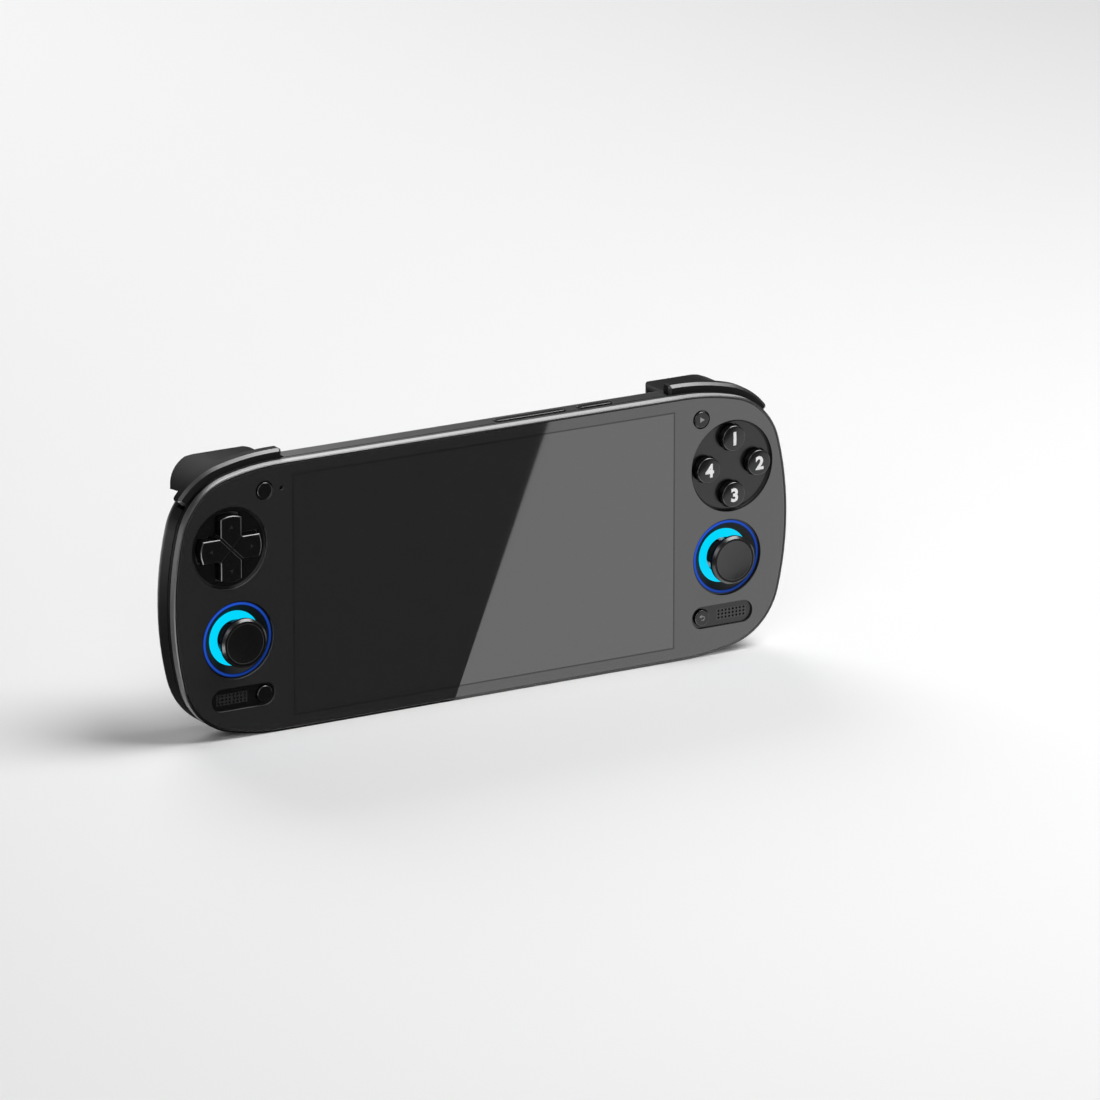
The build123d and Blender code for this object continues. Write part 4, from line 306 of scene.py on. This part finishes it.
# Direction pad: the plastic of the keys. Its two diagonal grooves, 0.8 mm wide, are dull and painted near
# black as painted shade, and the edges of the one that falls to the right carry thin paler lines as painted
# highlights.
groove_half_width, groove_end = 0.00038, 0.0065
edge_place, edge_half_width = 0.0005, 0.0001
diagonal = math.sqrt(0.5)
pad_x, pad_y, pad_z = middle(*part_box("dpad_cross"))
pad = key.copy()
pad.name = "pad_plastic"
pad_laid = lay_nodes(pad.node_tree, {
    "place": ("ShaderNodeTexCoord", None, {}),
    "middle": ("ShaderNodeVectorMath", "SUBTRACT", {1: (pad_x, 0, pad_z)}),
    "flat": ("ShaderNodeVectorMath", "MULTIPLY", {1: (1, 0, 1)}),
    "reach": ("ShaderNodeVectorMath", "LENGTH", {}),
    "near": ("ShaderNodeMath", "LESS_THAN", {1: groove_end}),
    "fall": ("ShaderNodeVectorMath", "DOT_PRODUCT", {1: (diagonal, 0, diagonal)}),
    "rise": ("ShaderNodeVectorMath", "DOT_PRODUCT", {1: (diagonal, 0, -diagonal)}),
    "fall_gap": ("ShaderNodeMath", "ABSOLUTE", {}),
    "rise_gap": ("ShaderNodeMath", "ABSOLUTE", {}),
    "fall_groove": ("ShaderNodeMath", "LESS_THAN", {1: groove_half_width}),
    "rise_groove": ("ShaderNodeMath", "LESS_THAN", {1: groove_half_width}),
    "either": ("ShaderNodeMath", "MAXIMUM", {}),
    "groove_painted_shade": ("ShaderNodeMath", "MULTIPLY", {}),
    "fall_edge": ("ShaderNodeMath", "COMPARE", {1: edge_place, 2: edge_half_width}),
    "edge_near": ("ShaderNodeMath", "MULTIPLY", {}),
    "painted_highlight_lines": ("ShaderNodeMath", "SUBTRACT", {}),
    # painted highlight: thin paler lines along the edges of the groove that falls to the right
    "tone": ("ShaderNodeMix", "RGBA", {"A": key_black, "B": (0.07, 0.07, 0.07, 1)}),
    # painted shade: the grooves get a near-black colour
    "colour": ("ShaderNodeMix", "RGBA", {"B": (0.0005, 0.0005, 0.0005, 1)}),
    "dull": ("ShaderNodeMapRange", None, {"To Min": key_roughness, "To Max": 0.9}),
}, (
    ("place", "Object", "middle", 0), ("middle", 0, "flat", 0), ("flat", 0, "reach", 0),
    ("reach", "Value", "near", 0), ("flat", 0, "fall", 0), ("fall", "Value", "fall_gap", 0),
    ("flat", 0, "rise", 0), ("rise", "Value", "rise_gap", 0), ("fall_gap", 0, "fall_groove", 0),
    ("rise_gap", 0, "rise_groove", 0), ("fall_groove", 0, "either", 0), ("rise_groove", 0, "either", 1),
    ("either", 0, "groove_painted_shade", 0), ("near", 0, "groove_painted_shade", 1), ("fall_gap", 0, "fall_edge", 0),
    ("fall_edge", 0, "edge_near", 0), ("near", 0, "edge_near", 1), ("edge_near", 0, "painted_highlight_lines", 0),
    ("groove_painted_shade", 0, "painted_highlight_lines", 1), ("painted_highlight_lines", 0, "tone", "Factor"), ("tone", "Result", "colour", "A"),
    ("groove_painted_shade", 0, "colour", "Factor"), ("colour", "Result", "shader", "Base Color"),
    ("groove_painted_shade", 0, "dull", "Value"), ("dull", "Result", "shader", "Roughness"),
))
pad_laid["painted_highlight_lines"].use_clamp = True
dress("dpad_cross", pad)


# White digits printed on the four face buttons, 1 to 4 clockwise from the top.
# Each is a thin layer, sliced finely so that it follows the crown of its cap.
digit_height, digit_weight, digit_layer = 0.0046, 0.00026, 0.00006
capital_share = 0.7
slice_step, slices_each_side, slice_tolerance = 0.0004, 9, 1e-7
crown_drop, crown_radius = 0.00045, 0.0047
ink = start_material("white_print", {"Base Color": (0.92, 0.92, 0.92, 1)})
add_grain(ink, {"Roughness": 0.4})
for place, digit in (("top", "1"), ("right", "2"), ("bottom", "3"), ("left", "4")):
    cap_x, cap_y, cap_z = middle(*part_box("face_button_" + place))
    letter = bpy.data.curves.new("digit_curve_" + place, "FONT")
    letter.body = digit
    letter.size = digit_height / capital_share
    letter.offset = digit_weight
    letter.extrude = digit_layer
    letter.align_x = "CENTER"
    letter.align_y = "CENTER"
    letter.resolution_u = 6
    letter_object = bpy.data.objects.new("digit_source_" + place, letter)
    bpy.context.collection.objects.link(letter_object)
    bpy.context.view_layer.update()
    drawn = letter_object.evaluated_get(bpy.context.evaluated_depsgraph_get())
    print_mesh = bpy.data.meshes.new_from_object(drawn)
    bpy.data.objects.remove(letter_object)
    sliced = bmesh.new()
    sliced.from_mesh(print_mesh)
    for axis in (0, 1):
        for step in range(-slices_each_side, slices_each_side + 1):
            cut_place, cut_normal = Vector((0, 0, 0)), Vector((0, 0, 0))
            cut_place[axis], cut_normal[axis] = step * slice_step, 1
            bmesh.ops.bisect_plane(sliced, geom=sliced.verts[:] + sliced.edges[:] + sliced.faces[:],
                                   dist=slice_tolerance, plane_co=cut_place, plane_no=cut_normal)
    sliced.to_mesh(print_mesh)
    sliced.free()
    mid_x = (min(v.co.x for v in print_mesh.vertices) + max(v.co.x for v in print_mesh.vertices)) / 2
    mid_y = (min(v.co.y for v in print_mesh.vertices) + max(v.co.y for v in print_mesh.vertices)) / 2
    for vertex in print_mesh.vertices:
        across, up, out = vertex.co.x - mid_x, vertex.co.y - mid_y, vertex.co.z
        sag = crown_drop * (across ** 2 + up ** 2) / crown_radius ** 2
        vertex.co = Vector((cap_x + across, cap_y - out + sag, cap_z + up))
    print_mesh.materials.clear()
    print_mesh.materials.append(ink)
    print_object = bpy.data.objects.new("digit_" + place, print_mesh)
    bpy.context.collection.objects.link(print_object)
    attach(print_object, "face_button_" + place)


# Faint grey marks on the keys: four small triangles on the direction pad, a triangle on the right upper
# button and a bent arrow on the right lower one. Each is a thin printed layer on its cap.
def add_mesh(name, points, faces, material):
    mesh = bpy.data.meshes.new(name)
    mesh.from_pydata(points, [], faces)
    mesh.materials.append(material)
    mesh_object = bpy.data.objects.new(name, mesh)
    bpy.context.collection.objects.link(mesh_object)
    return mesh_object


mark_layer = 0.00003
pad_mark_base, pad_mark_tip, pad_mark_half_width = 0.0075, 0.0088, 0.0008
play_left, play_right, play_half_height = -0.0007, 0.0011, 0.0010
bend_radius, bend_depth = 0.0002, 0.00008
mark_inks = {}
for name, tone in (("faint_print", 0.012), ("grey_print", 0.3)):
    mark_inks[name] = start_material(name, {"Base Color": (tone, tone, tone, 1)})
    add_grain(mark_inks[name], {"Roughness": 0.5})
marks = []
for turn in range(4):
    side = Vector((math.cos(turn * math.pi / 2), math.sin(turn * math.pi / 2)))
    half = Vector((-side.y, side.x)) * pad_mark_half_width
    corners = [side * pad_mark_base - half, side * pad_mark_base + half, side * pad_mark_tip]
    marks.append(("dpad_mark_%d" % (turn + 1), "dpad", "faint_print", (pad_x, pad_y, pad_z), corners))
play_middle = middle(*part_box("right_menu_button"))
play_corners = [Vector((play_left, -play_half_height)), Vector((play_right, 0)),
                Vector((play_left, play_half_height))]
marks.append(("play_mark", "right_menu_button", "grey_print", play_middle, play_corners))
back_x, back_y, back_z = middle(*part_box("right_pill_button"))
back_head = [Vector((-0.0013, 0.0006)), Vector((-0.0004, 0.0000)), Vector((-0.0004, 0.0012))]
back_bend = [(-0.0004, 0.0006), (0.0003, 0.0006), (0.0008, 0.0003), (0.0008, -0.0004), (0.0003, -0.0008),
             (-0.0005, -0.0008)]
marks.append(("back_mark_head", "right_pill_button", "grey_print", (back_x, back_y, back_z), back_head))
for name, body, print_name, (mark_x, mark_y, mark_z), corners in marks:
    shape = [(mark_x + c.x, mark_y - mark_layer, mark_z + c.y) for c in corners]
    shape += [(mark_x + c.x, mark_y + mark_layer, mark_z + c.y) for c in corners]
    mark_faces = [(0, 1, 2), (5, 4, 3), (0, 3, 4, 1), (1, 4, 5, 2), (2, 5, 3, 0)]
    mark_object = add_mesh(name, shape, mark_faces, mark_inks[print_name])
    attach(mark_object, body)
bend_curve = bpy.data.curves.new("back_mark_line", "CURVE")
bend_curve.dimensions = "3D"
bend_curve.bevel_depth = bend_radius
bend_spline = bend_curve.splines.new("POLY")
bend_spline.points.add(len(back_bend) - 1)
for point, (across, up) in zip(bend_spline.points, back_bend):
    point.co = (back_x + across, back_y + bend_depth, back_z + up, 1)
bend_curve.materials.append(mark_inks["grey_print"])
bend_object = bpy.data.objects.new("back_mark_line", bend_curve)
bpy.context.collection.objects.link(bend_object)
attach(bend_object, "right_pill_button")


# Place round a stick, for its cap and its lights: the distance from its axis, and how far a point lies to the
# upper left of it. The right side is folded onto the left, so one group serves both sticks.
stick_x, stick_front, stick_z = middle(*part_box("right_stick_cap"))
brighter_side = (-0.7, 0, 0.7)
stick_reach = start_group("stick_reach", {}, ("Radius", "Lean"))
lay_nodes(stick_reach, {
    "out": ("NodeGroupOutput", None, {}),
    "place": ("ShaderNodeTexCoord", None, {}),
    "sides": ("ShaderNodeVectorMath", "SIGN", {}),
    "folded": ("ShaderNodeVectorMath", "ABSOLUTE", {}),
    "centred": ("ShaderNodeVectorMath", "SUBTRACT", {1: (stick_x, 0, stick_z)}),
    "flat": ("ShaderNodeVectorMath", "MULTIPLY", {1: (1, 0, 1)}),
    "turned": ("ShaderNodeVectorMath", "MULTIPLY", {}),
    "lean": ("ShaderNodeVectorMath", "DOT_PRODUCT", {1: brighter_side}),
    "radius": ("ShaderNodeVectorMath", "LENGTH", {}),
}, (
    ("place", "Object", "sides", 0), ("place", "Object", "folded", 0), ("folded", 0, "centred", 0),
    ("centred", 0, "flat", 0), ("flat", 0, "turned", 0), ("sides", 0, "turned", 1),
    ("turned", 0, "lean", 0), ("lean", "Value", "out", "Lean"), ("flat", 0, "radius", 0),
    ("radius", "Value", "out", "Radius"),
))


# Stick caps: soft black rubber with a fine matte grain, moulded over each stick's shaft.
# The round rim is polished by use, the hollow that the thumb rests in shines less, and a thin paler line
# divides them at 7.2 mm from the middle.
cap_front_depth = 0.0013
hollow_start, hollow_end, ring_radius, ring_half_width = 0.0070, 0.0073, 0.0072, 0.00012
rubber = start_material("stick_rubber", {"IOR": 1.5, "Specular IOR Level": 0.12, "Coat IOR": 1.7,
                                         "Coat Roughness": 0.24})
lay_nodes(rubber.node_tree, {
    "normal": ("ShaderNodeNewGeometry", None, {}),
    "facing": ("ShaderNodeSeparateXYZ", None, {}),
    "rim": ("ShaderNodeMapRange", None, {"From Min": -0.92, "From Max": -0.8}),
    "place": ("ShaderNodeTexCoord", None, {}),
    "depth": ("ShaderNodeSeparateXYZ", None, {}),
    "front": ("ShaderNodeMath", "LESS_THAN", {1: stick_front + cap_front_depth}),
    "reach": ("ShaderNodeGroup", stick_reach, {}),
    "hollow": ("ShaderNodeMapRange", None, {"From Min": hollow_start, "From Max": hollow_end,
                                            "To Min": 0.6, "To Max": 0.08}),
    "ring": ("ShaderNodeMath", "COMPARE", {1: ring_radius, 2: ring_half_width}),
    "line": ("ShaderNodeMix", "RGBA", {"A": (0.004, 0.004, 0.004, 1), "B": (0.05, 0.05, 0.05, 1)}),
    "most": ("ShaderNodeMath", "MAXIMUM", {}),
    "sheen": ("ShaderNodeMath", "MULTIPLY", {}),
}, (
    ("normal", "Normal", "facing", 0), ("facing", "Y", "rim", "Value"),
    ("reach", "Radius", "hollow", "Value"), ("reach", "Radius", "ring", 0), ("ring", 0, "line", "Factor"),
    ("line", "Result", "shader", "Base Color"), ("rim", "Result", "most", 0),
    ("hollow", "Result", "most", 1), ("place", "Object", "depth", 0), ("depth", "Y", "front", 0),
    ("most", 0, "sheen", 0), ("front", 0, "sheen", 1), ("sheen", 0, "shader", "Coat Weight"),
))
add_grain(rubber, {"Scale": 3000.0}, 0.2, 0.00004)
for side in ("left", "right"):
    dress(side + "_stick_cap", rubber)


# Lit rings round the sticks: blue diffusers 1.2 mm wide, brightest along their middle and to the upper left.
# The cyan discs in the wells are brighter and even. Both are clear plastic, lit from behind.
light_middle_radius, light_outer_radius = 0.01305, 0.0131
bright_half_width, dim_half_width = 0.0002, 0.0006
for name, slot_name, colour, dimmest, edge_tone in (
    ("light_rings", "blue_light", (0.016, 0.090, 0.62), 0.35, 0.12),
    ("glow_discs", "cyan_light", (0.0, 0.69, 1.0), 0.96, 1.0),
):
    light = start_material(slot_name, {"Base Color": (0.0, 0.004, 0.01, 1), "Specular IOR Level": 0.1,
                                       "Roughness": 0.5, "Emission Strength": 1.0})
    light_laid = lay_nodes(light.node_tree, {
        "reach": ("ShaderNodeGroup", stick_reach, {}),
        "swing": ("ShaderNodeMapRange", None, {"From Min": -light_outer_radius,
                                               "From Max": light_outer_radius, "To Min": dimmest}),
        "middle": ("ShaderNodeMath", "SUBTRACT", {1: light_middle_radius}),
        "away": ("ShaderNodeMath", "ABSOLUTE", {}),
        "across": ("ShaderNodeMapRange", None, {"From Min": bright_half_width, "From Max": dim_half_width,
                                                "To Min": 1.0, "To Max": edge_tone}),
        "share": ("ShaderNodeMath", "MULTIPLY", {}),
        "tone": ("ShaderNodeMix", "RGBA", {"A": (0, 0, 0, 1), "B": (*colour, 1)}),
    }, (
        ("reach", "Lean", "swing", "Value"), ("reach", "Radius", "middle", 0), ("middle", 0, "away", 0),
        ("away", 0, "across", "Value"), ("swing", "Result", "share", 0), ("across", "Result", "share", 1),
        ("share", 0, "tone", "Factor"), ("tone", "Result", "shader", "Emission Color"),
    ))
    light_laid["across"].interpolation_type = "SMOOTHSTEP"
    dress(name, light)


# Shoulder keys and triggers: black moulded plastic, smoother than the shell, turning on pins in the brackets.
# The front chamfer of each shoulder key is cut bright, as the band of the frame is.
chamfer_facing, chamfer_spread, chamfer_back = -0.707, 0.03, -0.0015
shoulder = start_material("shoulder_plastic", {"IOR": 1.45, "Specular IOR Level": 0.02})
lay_nodes(shoulder.node_tree, {
    "normal": ("ShaderNodeNewGeometry", None, {}),
    "facing": ("ShaderNodeSeparateXYZ", None, {}),
    "slope": ("ShaderNodeMath", "COMPARE", {1: chamfer_facing, 2: chamfer_spread}),
    "place": ("ShaderNodeTexCoord", None, {}),
    "depth": ("ShaderNodeSeparateXYZ", None, {}),
    "front": ("ShaderNodeMath", "LESS_THAN", {1: chamfer_back}),
    "both": ("ShaderNodeMath", "MULTIPLY", {}),
    "colour": ("ShaderNodeMix", "RGBA", {"A": (0.019, 0.019, 0.0195, 1), "B": (0.12, 0.12, 0.121, 1)}),
}, (
    ("normal", "True Normal", "facing", 0), ("facing", "Y", "slope", 0), ("place", "Object", "depth", 0),
    ("depth", "Y", "front", 0), ("slope", 0, "both", 0), ("front", 0, "both", 1),
    ("both", 0, "colour", "Factor"), ("colour", "Result", "shader", "Base Color"),
    ("both", 0, "shader", "Metallic"),
))
add_grain(shoulder, {"Scale": 3500.0, "Roughness": 0.42}, 0.15, 0.00004)
for side in ("left", "right"):
    for name in (side + "_bumper", side + "_trigger"):
        dress(name, shoulder)


# Parts inside the body and the metal fittings, each with its own grained finish: green boards, a foil pouch,
# bare metal, grey silicone and black moulded plastic. A cloud of 10 percent varies each colour.
cloud_share = 0.1
inside_finishes = {
    "silicone": ((0.30, 0.30, 0.31), 0.0, 0.6, ("dpad_membrane", "face_membrane")),
    "board": ((0.02, 0.09, 0.05), 0.0, 0.35, (
        "left_control_board", "right_control_board", "main_board", "lower_board", "key_board")),
    "steel": ((0.55, 0.55, 0.56), 1.0, 0.3, (
        "dpad_pivot_ball", "vibration_motors", "shell_screws", "shoulder_pins", "usb_c_port", "card_socket",
        "left_stick_yoke", "right_stick_yoke", "left_trigger_spring", "right_trigger_spring")),
    "inner_plastic": ((0.020, 0.020, 0.021), 0.0, 0.45, (
        "speakers", "audio_jack", "fan_housing", "fan_rotor", "left_stick_base", "right_stick_base",
        "left_stick_rocker", "right_stick_rocker", "left_stick_shaft", "right_stick_shaft",
        "left_shoulder_bracket", "right_shoulder_bracket")),
    "battery_foil": ((0.45, 0.45, 0.46), 1.0, 0.4, ("battery",)),
    "sink_metal": ((0.60, 0.60, 0.61), 1.0, 0.35, ("heat_sink",)),
    "copper": ((0.72, 0.38, 0.22), 1.0, 0.3, ("heat_pipe",)),
}
for slot_name, (colour, metallic, roughness, names) in inside_finishes.items():
    inside = start_material(slot_name, {"Metallic": metallic})
    lay_nodes(inside.node_tree, {
        "cloud": ("ShaderNodeTexNoise", None, {"Scale": 300.0}),
        "tone": ("ShaderNodeMix", "RGBA", {"A": (*[(1 - cloud_share) * part for part in colour], 1),
                                           "B": (*[(1 + cloud_share) * part for part in colour], 1)}),
    }, (("cloud", 0, "tone", "Factor"), ("tone", "Result", "shader", "Base Color")))
    add_grain(inside, {"Scale": 3000.0, "Roughness": roughness}, 0.2, 0.00005)
    for name in names:
        dress(name, inside)


# Pale floor of the studio, with soft contact shadows.
# It isn't part of the console.
floor_reach = 6
floor_corners = [(-floor_reach, -floor_reach, 0), (floor_reach, -floor_reach, 0),
                 (floor_reach, floor_reach, 0), (-floor_reach, floor_reach, 0)]
floor_material = start_material("floor", {"Base Color": (0.9, 0.9, 0.9, 1), "Roughness": 0.9,
                                          "Specular IOR Level": 0.0})
floor_object = add_mesh("floor", floor_corners, [(0, 1, 2, 3)], floor_material)
floor_object.visible_glossy = False


# What glossy surfaces see of the studio's ground: a pale field to the front right and a dark one elsewhere,
# whose straight edge gives the diagonal reflection across the glass, and a bright patch to the left,
# which the left edges of the keys catch.
ground_reach, ground_height = 6, 0.0005
ground_edge_from = Vector((0.1990, -0.3032, 0))
ground_edge_to = Vector((-0.0114, -0.0110, 0))
ground_edge = (ground_edge_to - ground_edge_from).normalized()
ground_side = Vector((ground_edge.y, -ground_edge.x, 0)) * ground_reach
ground_ends = (ground_edge_from - ground_edge * ground_reach, ground_edge_from + ground_edge * ground_reach)
ground_fields = {
    "ground_pale": (1.2, -ground_height, (
        *ground_ends, ground_ends[1] + ground_side, ground_ends[0] + ground_side)),
    "ground_dark": (0.05, -ground_height, (
        *ground_ends, ground_ends[1] - ground_side, ground_ends[0] - ground_side)),
    "ground_left": (4.0, ground_height, (
        (-0.6, -0.10, 0), (-0.15, -0.10, 0), (-0.15, -0.01, 0), (-0.6, -0.01, 0))),
}
for name, (level, height, corners) in ground_fields.items():
    ground_material = start_material(name, {"Base Color": (0, 0, 0, 1), "Specular IOR Level": 0.0,
                                            "Emission Color": (1, 1, 1, 1), "Emission Strength": level})
    ground_object = add_mesh(name, corners, [range(len(corners))], ground_material)
    ground_object.location = (0, 0, height)
    ground_object.visible_camera = False
    ground_object.visible_diffuse = False
    ground_object.visible_shadow = False
    ground_object.visible_transmission = False


# Soft studio light: a pale surround that is darker to the upper left, and three soft boxes.
# The camera sees the surround as a plain pale grey.
surround_seen, rise_share = 0.84, -0.8
console_middle = (0, 0, 0.05)
world = bpy.data.worlds.new("studio")
bpy.context.scene.world = world
world.use_nodes = True
lay_nodes(world.node_tree, {
    "place": ("ShaderNodeTexCoord", None, {}),
    "split": ("ShaderNodeSeparateXYZ", None, {}),
    "lean": ("ShaderNodeMath", "MULTIPLY_ADD", {1: rise_share}),
    "side": ("ShaderNodeMapRange", None, {"From Min": -0.6, "From Max": 0.3, "To Min": 0.32, "To Max": 1.3}),
    "path": ("ShaderNodeLightPath", None, {}),
    "seen": ("ShaderNodeMix", "FLOAT", {"B": surround_seen}),
}, (
    ("place", "Generated", "split", 0), ("split", "Z", "lean", 0), ("split", "X", "lean", 2),
    ("lean", 0, "side", "Value"), ("side", "Result", "seen", "A"),
    ("path", "Is Camera Ray", "seen", "Factor"), ("seen", "Result", "shader", "Strength"),
))
for name, place, size, power in (
    ("box_top", (0.6, -0.35, 1.3), 0.9, 19.3),
    ("box_front", (-0.9, -1.2, 0.7), 0.9, 6.0),
    ("box_back", (0.2, 1.4, 1.0), 1.0, 12.0),
):
    box_light = bpy.data.lights.new(name, "AREA")
    box_light.size = size
    box_light.energy = power
    box_object = bpy.data.objects.new(name, box_light)
    box_object.location = place
    box_object.rotation_mode = "QUATERNION"
    box_object.rotation_quaternion = (Vector(console_middle) - Vector(place)).to_track_quat("-Z", "Y")
    box_object.visible_camera = False
    bpy.context.collection.objects.link(box_object)


# Camera at the photograph's viewing angle: 30 degrees to the left and 17 above, about 3.6 m away.
# Its place and lens come from fitting straight and round edges of the console to the photograph.
camera_data = bpy.data.cameras.new("camera")
camera_data.sensor_width = 36.0
camera_data.lens = 328.4
camera_data.clip_start, camera_data.clip_end = 0.1, 100.0
camera = bpy.data.objects.new("camera", camera_data)
bpy.context.collection.objects.link(camera)
camera.matrix_world = Matrix((
    (0.8618, 0.1448, -0.4862, -1.7064),
    (-0.5073, 0.2459, -0.8260, -2.9520),
    (0.0, 0.9584, 0.2854, 1.0668),
    (0.0, 0.0, 0.0, 1.0),
))
bpy.context.scene.camera = camera
bpy.context.scene.view_settings.view_transform = "Standard"
